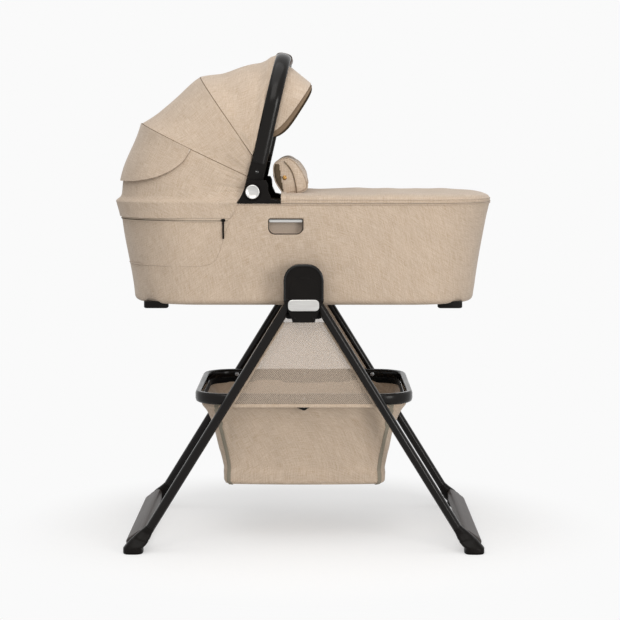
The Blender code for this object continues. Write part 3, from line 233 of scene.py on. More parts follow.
def skin(rings, joined=False, capped=True, bm=None):
    """Bridges rings of equal length with faces."""
    bm = bm or bmesh.new()
    rows = [[bm.verts.new(p) for p in ring] for ring in rings]
    pairs = list(zip(rows, rows[1:]))
    if joined:
        pairs.append((rows[-1], rows[0]))
    for a, b in pairs:
        for i in range(len(a)):
            k = (i + 1) % len(a)
            bm.faces.new((a[i], a[k], b[k], b[i]))
    if capped and not joined:
        bm.faces.new(list(reversed(rows[0])))
        bm.faces.new(rows[-1])
    return bm


def swept(path, section, across, joined=False, bm=None):
    """A section carried along a path. Across is the direction that the section's first number points in."""
    path = np.asarray(path, float)
    if joined:
        ahead = np.roll(path, -1, axis=0) - np.roll(path, 1, axis=0)
    else:
        ahead = np.gradient(path, axis=0)
    ahead /= np.linalg.norm(ahead, axis=1)[:, None]
    across = np.broadcast_to(np.asarray(across, float), path.shape)
    across = across - ahead * np.sum(across * ahead, axis=1)[:, None]
    across = across / np.linalg.norm(across, axis=1)[:, None]
    other = np.cross(ahead, across)
    section = np.asarray(section)
    rings = [p + section[:, :1] * a + section[:, 1:] * b for p, a, b in zip(path, across, other)]
    return skin(rings, joined=joined, bm=bm)


def fit(piece, body, nodes=()):
    """Hands a piece over: the body it rides on and the nodes it stands for."""
    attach(piece, body)
    if nodes:
        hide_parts(*nodes)


def place(name, bm, material, body=None, nodes=(), sharp=40.0, recalc=True):
    """Makes a piece of a mesh: normals outwards, round faces smooth, on its body, in place of its nodes."""
    if recalc:
        bmesh.ops.recalc_face_normals(bm, faces=bm.faces)
    mesh = bpy.data.meshes.new(name)
    bm.to_mesh(mesh)
    bm.free()
    mesh.shade_smooth()
    mesh.set_sharp_from_angle(angle=math.radians(sharp))
    mesh.materials.append(material)
    piece = bpy.data.objects.new(name, mesh)
    scene.collection.objects.link(piece)
    if body:
        fit(piece, body, nodes)
    return piece


# Anodised aluminium, bead blasted first: a deep soft black with a broad grey sheen along each edge, and a
# grain of about 0.1 mm, drawn at 1.2 mm so that it shows.
black_anodised = blank_material("satin_black_anodised_aluminium")
tree = black_anodised.node_tree
spot = add(tree, "ShaderNodeTexCoord").outputs["Object"]
grain = add(tree, "ShaderNodeTexNoise", {"Vector": spot, "Scale": 820.0, "Detail": 3.0, "Roughness": 0.6})
rub = add(tree, "ShaderNodeTexNoise", {"Vector": spot, "Scale": 14.0, "Detail": 2.0})
gloss = add(tree, "ShaderNodeMapRange", {"Value": rub.outputs["Fac"], "From Min": 0.35, "From Max": 0.65,
            "To Min": 0.17, "To Max": 0.24})
tone = add(tree, "ShaderNodeMix", {"Factor": grain.outputs["Fac"], 6: linear("0E0C0B"), 7: linear("191614")},
           data_type="RGBA")
bump = add(tree, "ShaderNodeBump", {"Height": grain.outputs["Fac"], "Strength": 0.10, "Distance": 0.0004})
shader = add(tree, "ShaderNodeBsdfPrincipled", {"Base Color": tone.outputs[2], "Roughness": gloss.outputs[0],
             "Normal": bump.outputs[0], "Metallic": 0.0, "Specular IOR Level": 0.17})
add(tree, "ShaderNodeOutputMaterial", {"Surface": shader.outputs[0]})

# distance down the leg and share of its half width: a round upper end, then straight down into the shoe
leg_steps = [(-0.5 * LEG_WIDE * math.sin(a), math.cos(a)) for a in np.radians((80, 60, 40, 20, 0))]
leg_steps += [(LEG_LONG * k / 12, 1.0) for k in range(1, 11)] + [(LEG_LONG - BOOT_RISE - 0.0002, 1.0)]
for end_name, end in ENDS.items():
    for side_name, side in SIDES.items():
        rings = []
        for along, width in leg_steps:
            (x, z), (edge_x, edge_z) = leg_point(end, along), leg_point(end, along, width)
            rings.append([(x + v * (edge_x - x), side * LEG_Y + u, z + v * (edge_z - z))
                          for u, v in oval(LEG_DEEP / 2, LEG_WIDE / 2, 2.4, 32)])
        place(f"leg_tube_{end_name}_{side_name}", skin(rings), black_anodised, f"{end_name}_legs",
              [f"{end_name}_leg_{side_name}"])


# Shoes and crossbars
# Each leg stands in a moulded shoe with a flat sole, black, with a fine parting line and a rounded toe. A
# sloping moulded slab joins the two shoes of each end.

BOOT_LONG, BOOT_WIDE = 0.043, 0.044
BOOT_BACK = 0.0035
SOLE_TOP = 0.012
LEG_IN = LEG_Y - LEG_DEEP / 2


def pattern(tree, scale, detail=2.0, stretch=None, cells=None):
    """A pattern in a piece's own coordinates, in waves a metre: noise, or the cells of a Voronoi feature."""
    spot = add(tree, "ShaderNodeTexCoord").outputs["Object"]
    if stretch:
        spot = add(tree, "ShaderNodeMapping", {"Vector": spot, "Scale": stretch}).outputs[0]
    if cells:
        return add(tree, "ShaderNodeTexVoronoi", {"Vector": spot, "Scale": scale},
                   feature=cells).outputs["Distance"]
    return add(tree, "ShaderNodeTexNoise", {"Vector": spot, "Scale": scale, "Detail": detail}).outputs["Fac"]


def surface(name, tones, grain, wear=None, gloss=0.5, bump=None, more=None):
    """A material of a slot. Grain and wear are patterns. The wear, or else the grain, leads the colour from
    one tone to the other and the roughness between two values, and the grain lifts the bump by (strength,
    depth)."""
    material = blank_material(name)
    tree = material.node_tree
    fine = pattern(tree, *grain)
    broad = pattern(tree, *wear) if wear else fine
    inputs = {"Roughness": gloss, **(more or {})}
    if isinstance(tones, str):
        inputs["Base Color"] = linear(tones)
    else:
        inputs["Base Color"] = add(tree, "ShaderNodeMix",
                                   {"Factor": broad, 6: linear(tones[0]), 7: linear(tones[1])},
                                   data_type="RGBA").outputs[2]
    if isinstance(gloss, tuple):
        inputs["Roughness"] = add(tree, "ShaderNodeMapRange",
                                  {"Value": broad, "To Min": gloss[0], "To Max": gloss[1]}).outputs[0]
    if bump:
        inputs["Normal"] = add(tree, "ShaderNodeBump",
                               {"Height": fine, "Strength": bump[0], "Distance": bump[1]}).outputs[0]
    shader = add(tree, "ShaderNodeBsdfPrincipled", inputs)
    add(tree, "ShaderNodeOutputMaterial", {"Surface": shader.outputs[0]})
    return material


# ABS moulded in a spark-eroded tool: black with a dull even gloss, grain of 0.3 mm drawn at 0.8 mm.
black_moulding = surface("black_moulded_abs", ("0C0A09", "151210"), (1250.0,),
                         wear=(35.0, 4.0), gloss=(0.34, 0.50), bump=(0.16, 0.0003),
                         more={"Specular IOR Level": 0.10})
# The same ABS in the brown-black of the crossbars, a little duller, with paler worn patches.
brown_moulding = surface("brown_black_moulded_abs", ("241E1B", "3A302B"), (1250.0,),
                         wear=(22.0, 4.0), bump=(0.16, 0.0003), more={"IOR": 1.5})


def dressed(node, name, material, body, bevel=0.0008, segments=2, angle=30.0):
    """The CAD solid with its hard edges eased, in place of the node."""
    bm = bmesh.new()
    bm.from_mesh(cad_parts[node].data)
    bmesh.ops.remove_doubles(bm, verts=bm.verts, dist=1e-6)
    bmesh.ops.dissolve_limit(bm, angle_limit=math.radians(1.0), verts=bm.verts, edges=bm.edges)
    piece = place(name, bm, material, body, [node], recalc=False)
    if bevel:
        ease = piece.modifiers.new("eased_edges", "BEVEL")
        ease.width = bevel
        ease.segments = segments
        ease.limit_method = "ANGLE"
        ease.angle_limit = math.radians(angle)
        ease.harden_normals = True
        piece.data.shade_smooth()
    return piece


sole_x = FOOT_X + BOOT_BACK
top_x, top_z = leg_point(1.0, LEG_LONG - BOOT_RISE + GAP)
sole_y = LEG_IN + BOOT_WIDE / 2
# share of the way down, tilt, half length, half width and the same again at the sole
shoe_steps = [
    (0.0, 1.0, LEG_WIDE / 2, LEG_DEEP / 2),
    (0.10, 0.90, LEG_WIDE * 0.54, LEG_DEEP * 0.515),
    (0.22, 0.75, LEG_WIDE * 0.62, LEG_DEEP * 0.53),
    (0.42, 0.55, BOOT_LONG * 0.365, BOOT_WIDE * 0.355),
    (0.62, 0.35, BOOT_LONG * 0.435, BOOT_WIDE * 0.42),
    (0.82, 0.15, BOOT_LONG * 0.485, BOOT_WIDE * 0.478),
    (1.0, 0.0, BOOT_LONG / 2, BOOT_WIDE / 2),
]
SOLE_STEPS = ((0.0045, -0.0002), (0.0040, 0.0005), (0.0033, 0.0005), (0.0030, 0.0), (0.0015, 0.0),
              (0.0, 0.0015))
PARTING_ROWS, PARTING_DEEP = (14, 15), 0.0007  # the parting line between sock and sole
SHOE_POWER, TOE_BOW = 3.0, 0.004
for end_name, end in ENDS.items():
    for side_name, side in SIDES.items():
        rings = []
        for k, (share, tilt, half_long, half_wide) in enumerate(through(shoe_steps, 25)):
            if k in PARTING_ROWS:
                half_long, half_wide = half_long - PARTING_DEEP, half_wide - PARTING_DEEP
            x = top_x + (sole_x - top_x) * share
            z = top_z + (SOLE_TOP - top_z) * share
            lean = tilt * LEG_ANGLE
            ring = []
            for u, v in oval(half_wide, half_long, SHOE_POWER, 40):
                bow = TOE_BOW * math.sin(math.pi * share) * math.cos(v / half_long * math.pi / 2)
                ring.append((end * (x + v * math.cos(lean)), side * (LEG_IN + half_wide + u),
                             z + v * math.sin(lean) - bow))
            rings.append(ring)
        for z, inset in SOLE_STEPS:
            sole = oval(BOOT_WIDE / 2 - inset, BOOT_LONG / 2 - inset, SHOE_POWER, 40)
            rings.append([(end * (sole_x + v), side * (sole_y + u), z) for u, v in sole])
        place(f"shoe_{end_name}_{side_name}", skin(rings), black_moulding, f"{end_name}_legs",
              [f"{end_name}_shoe_{side_name}"], sharp=50.0)
    dressed(f"{end_name}_crossbar", f"foot_crossbar_{end_name}", brown_moulding, f"{end_name}_legs",
            bevel=0.0035, segments=4, angle=14.0)


# Hubs
# On each side a black moulded hub holds both legs between an inner wall and an outer cover. The cover is an
# arch with a bright rounded rim, a recessed face with a curved step, and a satin silver plate set in its
# lower part.

ARCH_HALF, ARCH_TOP, ARCH_CORNER = 0.0425, PIVOT_Z + 0.0865, 0.034
ARCH_SHOULDER = PIVOT_Z + 0.0075
HUB_BOTTOM = PIVOT_Z - 0.037
LEG_OUT = LEG_Y + LEG_DEEP / 2
HUB_FACE = LEG_OUT + 2 * GAP + 0.0075
BADGE_HALF, BADGE_LOW, BADGE_HIGH, BADGE_CORNER = 0.033, PIVOT_Z - 0.0125, PIVOT_Z + 0.0115, 0.0085


def arc(cx, cz, radius, start, stop, steps):
    """Points on an arc, in degrees, both ends included."""
    angles = np.radians(np.linspace(start, stop, steps + 1))
    return [(cx + radius * math.cos(a), cz + radius * math.sin(a)) for a in angles]


def rounded(x0, x1, z0, z1, radius, steps=6):
    """A rectangle with round corners, counter-clockwise from its lower right corner."""
    r = min(radius, (x1 - x0) / 2 - 1e-5, (z1 - z0) / 2 - 1e-5)
    return (
        arc(x1 - r, z0 + r, r, -90, 0, steps)
        + arc(x1 - r, z1 - r, r, 0, 90, steps)
        + arc(x0 + r, z1 - r, r, 90, 180, steps)
        + arc(x0 + r, z0 + r, r, 180, 270, steps)
    )


def turned(x, z, steps, side, sides=48):
    """Rings of a shape turned on an axis across the object: radius and distance from the middle plane at
    each step."""
    angles = np.linspace(0, 2 * math.pi, sides, endpoint=False)
    return [[(x + r * math.cos(a), side * y, z + r * math.sin(a)) for a in angles] for r, y in steps]


# The same black ABS, flame polished along the rim: a hard bright line where the arch turns.
polished_rim = surface("polished_black_abs", "0B0A09", (90.0, 1.0),
                       gloss=(0.08, 0.20), more={"Specular IOR Level": 0.32})
# Die-cast zinc, satin nickel plated and brushed lengthwise: pale, with fine streaks 0.2 mm apart drawn at 0.6
# mm.
satin_nickel = surface("brushed_satin_nickel", ("B3B1AE", "E4E3E0"),
                       (1.0, 3.0, (40.0, 1600.0, 1600.0)), gloss=(0.22, 0.42), bump=(0.12, 0.0002),
                       more={"Metallic": 1.0})

RIM_BEAD, PLATE_EDGE = 0.0021, 0.0016
LUG_X, LUG_Z = 0.0195, HUB_BOTTOM + 0.008
LUG_DOME = ((0.0001, 0.0), (0.0030, 0.0), (0.0034, 0.0006), (0.0030, 0.0016), (0.0016, 0.0022),
            (0.0002, 0.0024))
arch = [(ARCH_HALF, ARCH_SHOULDER + 0.002)]
arch += arc(ARCH_HALF - ARCH_CORNER, ARCH_TOP - ARCH_CORNER, ARCH_CORNER, 0, 90, 16)
arch = [(-x, z) for x, z in arch] + arch[::-1]
# the bead lies just inside the arch's outline
arch = [(x * (1 - RIM_BEAD / ARCH_HALF), z - (RIM_BEAD if z > ARCH_SHOULDER + 0.01 else 0.0))
        for x, z in arch]
plate_line = rounded(-BADGE_HALF - PLATE_EDGE, BADGE_HALF + PLATE_EDGE, BADGE_LOW - PLATE_EDGE,
                     BADGE_HIGH + PLATE_EDGE, BADGE_CORNER + PLATE_EDGE, 8)
for side_name, side in SIDES.items():
    dressed(f"hub_{side_name}", f"hub_body_{side_name}", black_moulding, "hubs", bevel=0.0010)
    dressed(f"hub_cover_{side_name}", f"hub_cover_shell_{side_name}", black_moulding, "hubs", bevel=0.0007,
            segments=3, angle=50.0)
    line = spaced([(x, side * (HUB_FACE - 0.0003), z) for x, z in arch], 72)
    bead = swept(line, oval(0.0010, RIM_BEAD, 2.0, 12), (0, side, 0))
    place(f"hub_rim_{side_name}", bead, polished_rim, "hubs")
    dressed(f"hub_badge_{side_name}", f"hub_plate_{side_name}", satin_nickel, "hubs", bevel=0.0003)
    line = [(x, side * (HUB_FACE + 0.0003), z) for x, z in plate_line]
    collar = swept(line, oval(0.0012, 0.0011, 2.0, 10), (0, side, 0), joined=True)
    place(f"hub_plate_surround_{side_name}", collar, black_moulding, "hubs")
    for k, x in enumerate((-LUG_X, LUG_X)):
        lug = turned(x, LUG_Z, [(r, HUB_FACE - 0.0004 + h) for r, h in LUG_DOME], side, 18)
        place(f"hub_lug_{side_name}_{k}", skin(lug), black_moulding, "hubs")


# Basket hoop
# A flattened black tube bent to a rounded rectangle, in two halves. They overlap in a half lap with a riveted
# knuckle under each side, and each half turns on headed steel pins in its legs.

HOOP_LONG, HOOP_WIDE, HOOP_CORNER = 0.238, 0.218, 0.071
HOOP_THICK, HOOP_TALL, HOOP_Z = 0.014, 0.0245, 0.327
HOOP_IN = HOOP_WIDE - HOOP_THICK
LOBE_DROP, LOBE_RADIUS = 0.0115, 0.009

# Zinc-plated steel: grey, a little blue, with a fine crystalline mottle.
zinc_steel = surface("zinc_plated_steel", ("8F9296", "BCBEC0"), (900.0, 0.0, None, "F1"),
                     gloss=(0.28, 0.42), more={"Metallic": 1.0})

for end_name in ENDS:
    dressed(f"{end_name}_hoop", f"basket_hoop_{end_name}", black_anodised, f"{end_name}_hoop", bevel=0.0012,
            segments=3, angle=45.0)
    for side_name in SIDES:
        dressed(f"{end_name}_hoop_pin_{side_name}", f"hoop_pin_{end_name}_{side_name}", zinc_steel,
                f"{end_name}_legs", bevel=0.0004)



def socket(tree, name, kind, way="INPUT"):
    """A socket on the outside of a node tree."""
    return tree.interface.new_socket(name, in_out=way, socket_type="NodeSocket" + kind)


# Rivet heads on the four knuckle plates, all set by one tree from a list of places.
rivets = bpy.data.node_groups.new("rivet_heads", "GeometryNodeTree")
socket(rivets, "Places", "Geometry")
radius_in = socket(rivets, "Radius", "Float")
height_in = socket(rivets, "Height", "Float")
metal_in = socket(rivets, "Metal", "Material")
socket(rivets, "Heads", "Geometry", "OUTPUT")
given = add(rivets, "NodeGroupInput")
ball = add(rivets, "GeometryNodeMeshUVSphere", {"Segments": 14, "Rings": 8, "Radius": 1.0})
flat = add(rivets, "ShaderNodeCombineXYZ",
           {0: given.outputs["Radius"], 1: given.outputs["Radius"], 2: given.outputs["Height"]})
facing = add(rivets, "GeometryNodeInputNamedAttribute", {"Name": "facing"}, data_type="FLOAT_VECTOR")
turn = add(rivets, "FunctionNodeAlignRotationToVector", {"Vector": facing.outputs["Attribute"]}, axis="Z")
heads = add(rivets, "GeometryNodeInstanceOnPoints",
            {"Points": given.outputs["Places"], "Instance": ball.outputs["Mesh"], "Rotation": turn.outputs[0],
             "Scale": flat.outputs[0]})
solid_heads = add(rivets, "GeometryNodeRealizeInstances", {"Geometry": heads.outputs[0]})
round_heads = add(rivets, "GeometryNodeSetShadeSmooth", {"Geometry": solid_heads.outputs[0]})
plated = add(rivets, "GeometryNodeSetMaterial",
             {"Geometry": round_heads.outputs[0], "Material": given.outputs["Metal"]})
add(rivets, "NodeGroupOutput", {0: plated.outputs[0]})


def baked(thing):
    """A plain mesh of a thing with its modifiers carried out."""
    bpy.context.view_layer.update()
    return bpy.data.meshes.new_from_object(thing.evaluated_get(bpy.context.evaluated_depsgraph_get()))


def grown(name, group, points, settings, facings=None, body=None):
    """Runs a tree on a set of points, a path unless each has a facing, and makes a plain piece of the
    outcome."""
    mesh = bpy.data.meshes.new(name + "_places")
    links = [(i, i + 1) for i in range(len(points) - 1)] if facings is None else []
    mesh.from_pydata([tuple(p) for p in points], links, [])
    if facings is not None:
        layer = mesh.attributes.new("facing", "FLOAT_VECTOR", "POINT")
        layer.data.foreach_set("vector", np.asarray(facings, np.float32).ravel())
    seed = bpy.data.objects.new(name + "_places", mesh)
    scene.collection.objects.link(seed)
    tool = seed.modifiers.new("grown", "NODES")
    tool.node_group = group
    for socket, value in settings.items():
        tool[socket.identifier] = value
    plain = baked(seed)
    bpy.data.objects.remove(seed)
    piece = bpy.data.objects.new(name, plain)
    plain.name = name
    scene.collection.objects.link(piece)
    fit(piece, body)
    return piece


lobe_z = HOOP_Z - HOOP_TALL / 2 - LOBE_DROP + LOBE_RADIUS
for end_name, end in ENDS.items():
    face = HOOP_WIDE - 0.0006 if end < 0 else HOOP_IN + 0.0006
    spots = [(0.0, side * face, z) for side in SIDES.values() for z in (lobe_z, HOOP_Z + 0.001)]
    facings = [(0.0, -end * side, 0.0) for side in SIDES.values() for _ in range(2)]
    grown(f"knuckle_rivets_{end_name}", rivets, spots,
          {radius_in: 0.0030, height_in: 0.0012, metal_in: zinc_steel}, facings, f"{end_name}_hoop")


# Basket
# A soft bin of beige melange canvas, sewn from four gathered walls and a floor. Its mouth hangs from the
# hoop, its corners fold in, and grey-green tape binds the seams.

FABRIC = 0.002
BASKET_TOP, BASKET_KNEE, BASKET_LOW = 0.3195, 0.178, 0.131
BASKET_LONG, BASKET_WIDE = 0.178, 0.163


def wander(points, size, seed, waves=7):
    """A soft random height over points, about -1 to 1, with swells of roughly the given size."""
    rng = np.random.default_rng(seed)
    points = np.asarray(points, float)
    total = np.zeros(points.shape[:-1])
    for _ in range(waves):
        way = rng.normal(size=points.shape[-1])
        way *= rng.uniform(0.6, 1.5) * 2 * math.pi / (size * np.linalg.norm(way))
        total += np.sin(points @ way + rng.uniform(0, 2 * math.pi))
    return total / math.sqrt(waves)


def normals_of(grid, around=False):
    """Unit normals of a grid of points: across the columns crossed with down the rows."""
    if around:
        across = np.roll(grid, -1, axis=1) - np.roll(grid, 1, axis=1)
    else:
        across = np.gradient(grid, axis=1)
    down = np.gradient(grid, axis=0)
    normal = np.cross(across, down)
    return normal / np.maximum(np.linalg.norm(normal, axis=2), 1e-12)[:, :, None]


def cloth(name, grid, thick, material, around=False, flip=False, shade=None, weld=None, inside=None,
          lay=None):
    """One layer of cloth over a grid of points, closed round its edges, with UVs in metres along the weave.
    A welded row, 0 or -1, is one whose points meet in a point or along a line. The inner face may have a
    material of its own, and the UVs may be given for every point."""
    grid = np.asarray(grid, float)
    if flip:
        grid = grid[:, ::-1]
        shade = None if shade is None else np.asarray(shade)[:, ::-1]
    count, wide = grid.shape[:2]
    shade = np.ones((count, wide)) if shade is None else np.asarray(shade, float)
    normal = normals_of(grid, around)
    if weld is not None:
        beside = normal[1 if weld == 0 else -2]
        normal[weld] = (beside + beside[::-1]) / 2 if not around else beside.mean(axis=0)
        normal[weld] /= np.linalg.norm(normal[weld], axis=1)[:, None]
    inner = grid - normal * thick
    ext = np.concatenate([grid, grid[:, :1]], axis=1) if around else grid
    n = ext.shape[1]
    u = np.concatenate([np.zeros((count, 1)),
                        np.cumsum(np.linalg.norm(np.diff(ext, axis=1), axis=2), axis=1)], axis=1)
    u -= u[:, n // 2 : n // 2 + 1]
    v = np.concatenate([np.zeros((1, n)), np.cumsum(np.linalg.norm(np.diff(ext, axis=0), axis=2), axis=0)],
                       axis=0)
    if lay is not None:
        u, v = np.asarray(lay, float)[:, :, 0], np.asarray(lay, float)[:, :, 1]
        if flip:
            u, v = u[:, ::-1], v[:, ::-1]
    index = np.arange(count * n).reshape(count, n)
    to_vertex = np.arange(count * wide).reshape(count, wide)
    if around:
        to_vertex = np.concatenate([to_vertex, to_vertex[:, :1]], axis=1)
    to_vertex = to_vertex.ravel()
    a, b = index[:-1, :-1].ravel(), index[:-1, 1:].ravel()
    c, d = index[1:, 1:].ravel(), index[1:, :-1].ravel()
    k = count * wide
    quads = [(np.stack([a, b, c, d], 1), (0, 0, 0, 0)), (np.stack([a, d, c, b], 1), (k, k, k, k))]
    if weld != 0:
        quads.append((np.stack([index[0, 1:], index[0, :-1], index[0, :-1], index[0, 1:]], 1), (0, 0, k, k)))
    if weld != -1:
        quads.append((np.stack([index[-1, :-1], index[-1, 1:], index[-1, 1:], index[-1, :-1]], 1),
                      (0, 0, k, k)))
    if not around:
        quads.append((np.stack([index[:-1, 0], index[1:, 0], index[1:, 0], index[:-1, 0]], 1), (0, 0, k, k)))
        quads.append((np.stack([index[1:, -1], index[:-1, -1], index[:-1, -1], index[1:, -1]], 1),
                      (0, 0, k, k)))
    corners = np.concatenate([to_vertex[q] + np.array(layer) for q, layer in quads])
    spots = np.concatenate([q for q, _ in quads])
    mesh = bpy.data.meshes.new(name)
    points = np.concatenate([grid.reshape(-1, 3), inner.reshape(-1, 3)])
    mesh.vertices.add(len(points))
    mesh.vertices.foreach_set("co", points.ravel())
    mesh.loops.add(corners.size)
    mesh.loops.foreach_set("vertex_index", corners.ravel())
    mesh.polygons.add(len(corners))
    mesh.polygons.foreach_set("loop_start", np.arange(len(corners)) * 4)
    mesh.update(calc_edges=True)
    layer = mesh.uv_layers.new(name="weave")
    layer.data.foreach_set("uv", np.stack([u.ravel()[spots], v.ravel()[spots]], axis=-1).ravel())
    # the painted shade of each point, on both faces, which the melange reads
    painted_shade = mesh.attributes.new("shade", "FLOAT", "POINT")
    painted_shade.data.foreach_set("value", np.concatenate([shade.ravel(), shade.ravel()]).astype(np.float32))
    mesh.materials.append(material)
    if inside is not None:
        mesh.materials.append(inside)
        first = (count - 1) * (n - 1)
        slots = np.zeros(len(corners), np.int32)
        slots[first : 2 * first] = 1
        mesh.polygons.foreach_set("material_index", slots)
    if weld is not None:
        bm = bmesh.new()
        bm.from_mesh(mesh)
        bmesh.ops.remove_doubles(bm, verts=bm.verts, dist=2e-5)
        bm.to_mesh(mesh)
        bm.free()
    mesh.shade_smooth()
    mesh.set_sharp_from_angle(angle=math.radians(60.0))
    piece = bpy.data.objects.new(name, mesh)
    scene.collection.objects.link(piece)
    return piece


def melange(name, pale, middle, dark, slub=1.0, sheen=0.15, solid=False, slot="beige_melange_cloth"):
    """A woven melange: mottled yarns both ways, with thicker slubs along them. 'shade' paints shade into
    creases.
    A solid one is for filled pieces, which have no UVs."""
    material = blank_material(name)
    tree = material.node_tree
    if solid:
        weave, third = add(tree, "ShaderNodeTexCoord").outputs["Object"], (580.0, 36.0)
    else:
        weave, third = add(tree, "ShaderNodeUVMap", uv_map="weave").outputs[0], (1.0, 1.0)

    def noise(at, scale, detail=2.0, rough=0.5):
        values = {"Vector": at, "Scale": scale, "Detail": detail, "Roughness": rough}
        return add(tree, "ShaderNodeTexNoise", values).outputs["Fac"]

    def sum_of(a, b, operation="ADD"):
        return add(tree, "ShaderNodeMath", {0: a, 1: b}, operation=operation).outputs[0]

    # yarns 0.5 mm apart are drawn as 1.7 mm bands, with slubs 20 to 30 mm long
    weft = add(tree, "ShaderNodeMapping", {"Vector": weave, "Scale": (42.0, 580.0, third[0])})
    warp = add(tree, "ShaderNodeMapping",
               {"Vector": weave, "Scale": (520.0, 36.0, third[1]), "Location": (3.1, 7.7, 0.0)})
    weft_slubs, warp_slubs = noise(weft.outputs[0], 1.0, 2.0, 0.55), noise(warp.outputs[0], 1.0, 2.0, 0.55)
    fleck, cloud = noise(weave, 430.0, 2.0, 0.7), noise(weave, 22.0, 3.0)
    yarns = sum_of(sum_of(weft_slubs, warp_slubs), fleck)
    spread = add(tree, "ShaderNodeMapRange",
                 {"Value": yarns, "From Min": 1.5 - 0.42 / slub, "From Max": 1.5 + 0.42 / slub})
    mottled = add(tree, "ShaderNodeMix", {"Factor": spread.outputs[0], 6: linear(dark), 7: linear(pale)},
                  data_type="RGBA")
    calm = add(tree, "ShaderNodeMix", {"Factor": 0.45, 6: mottled.outputs[2], 7: linear(middle)},
               data_type="RGBA")
    drift = add(tree, "ShaderNodeMapRange",
                {"Value": cloud, "From Min": 0.3, "From Max": 0.7, "To Min": 0.965, "To Max": 1.03})
    # painted shade from the 'shade' attribute; a solid one has none
    painted_shade = 1.0 if solid else add(tree, "ShaderNodeAttribute", attribute_name="shade").outputs["Fac"]
    dim = sum_of(drift.outputs[0], painted_shade, "MULTIPLY")
    tint = add(tree, "ShaderNodeVectorMath", {0: calm.outputs[2], "Scale": dim}, operation="SCALE")
    thread = sum_of(sum_of(weft_slubs, warp_slubs, "MAXIMUM"), fleck)
    bump = add(tree, "ShaderNodeBump", {"Height": thread, "Strength": 0.35, "Distance": 0.0006})
    shader = add(tree, "ShaderNodeBsdfPrincipled", {"Base Color": tint.outputs[0], "Roughness": 0.92,
                 "Normal": bump.outputs[0], "Sheen Weight": sheen, "Sheen Roughness": 0.5,
                 "Specular IOR Level": 0.2})
    add(tree, "ShaderNodeOutputMaterial", {"Surface": shader.outputs[0]})
    return material


# Linen-look polyester melange, woven from beige and cream yarns: even and matt, with short paler slubs.
BEIGE_YARNS = ("E0D3C5", "C4AE97", "A38B72")
beige_melange = melange("beige_melange_canvas", *BEIGE_YARNS, sheen=0.3)
# Painted shade for the visor's hem, the canopy's seams and the flap's folds: the same yarns darkened to
# brown-beige.
beige_painted_shade = melange("beige_melange_painted_shade", "94806C", "7D6A57", "66543F", slub=0.7, sheen=0.08)
# The same cloth in a paler, tighter weave for the linings.
pale_lining = melange("pale_lining_cotton", "EFE8DF", "DDD2C6", "C6B8A8", slub=0.7, slot="pale_lining_cloth")
# Grosgrain tape, ribbed across, in a soft grey-green brown.
binding_tape = melange("grey_green_grosgrain_tape", "A39C8D", "8F887A", "787163", slub=0.6, sheen=0.08)

stations = [
    (0.0002, 0.0002, 0.0001, BASKET_LOW - 0.0016),
    (0.060, 0.055, 0.012, BASKET_LOW - 0.0014),
    (BASKET_LONG - 0.030, BASKET_WIDE - 0.030, 0.014, BASKET_LOW - 0.0006),
    (BASKET_LONG - 0.009, BASKET_WIDE - 0.009, 0.018, BASKET_LOW),
    (BASKET_LONG - 0.001, BASKET_WIDE - 0.001, 0.021, BASKET_LOW + 0.005),
    (BASKET_LONG, BASKET_WIDE, 0.022, BASKET_LOW + 0.014),
    (BASKET_LONG + 0.0005, BASKET_WIDE + 0.0005, 0.024, (BASKET_LOW + BASKET_KNEE) / 2),
    (BASKET_LONG + 0.001, BASKET_WIDE + 0.001, 0.026, BASKET_KNEE),
]
top_long, top_wide, top_corner = HOOP_LONG - HOOP_THICK - GAP, HOOP_IN - GAP, HOOP_CORNER - HOOP_THICK
mid = (BASKET_TOP + BASKET_KNEE) / 2
stations += [
    ((BASKET_LONG + top_long) / 2 - 0.002, (BASKET_WIDE + top_wide) / 2, 0.055, mid),
    (top_long - 0.012, top_wide - 0.007, top_corner - 0.004, BASKET_TOP - 0.030),
    (top_long, top_wide, top_corner, BASKET_TOP - 0.012),
    (top_long, top_wide, top_corner, BASKET_TOP),
]
rows, columns = 66, 288
rings = []
for long, wide, corner, z in through(stations, rows):
    outline = rounded(-long, long, -wide, wide, corner, 10)
    outline = [(long, 0.0)] + outline[11:] + outline[:11] + [(long, 0.0)]
    rings.append([(x, y, z) for x, y in spaced(outline, columns + 1)[:-1]])
grid = np.array(rings)
grid[0] = grid[0].mean(axis=0)
outward = normals_of(grid, around=True)
turn = np.arctan2(grid[:, :, 1] / top_wide, grid[:, :, 0] / top_long)
corner = np.exp(-(((np.abs(np.cos(turn)) - 0.707) / 0.16) ** 2))
height = grid[:, :, 2]
slope = np.exp(-(((height - mid - 0.012) / 0.040) ** 2))
fold = np.cos(turn * 16.0) * corner * slope
belly = np.sin(np.pi * np.clip((height - BASKET_KNEE) / (BASKET_TOP - BASKET_KNEE), 0, 1))
loose = wander(grid, 0.11, 5) * 0.0012 + wander(grid, 0.045, 9) * 0.0004
push = -0.0035 * belly * (1 - corner) + 0.0030 * fold
push += loose * (height < BASKET_TOP - 0.006) * (height > BASKET_LOW + 0.002)
grid += outward * push[:, :, None]
low_edge = np.exp(-(((height - BASKET_LOW) / 0.012) ** 2))
across = 1 - (grid[:, :, 0] / BASKET_LONG) ** 2
grid[:, :, 2] -= 0.0018 * low_edge * across.clip(0, 1)
# painted shade in the hollows of the corner folds and along the bin's lower edge
shade = 1.0 - 0.12 * corner * slope * (fold < 0) - 0.04 * low_edge
basket = cloth("basket_bin_cloth", grid, FABRIC, beige_melange, around=True, shade=shade, weld=0)
basket_rows, mouth_ring, low_ring = grid, grid[-1], grid[24]


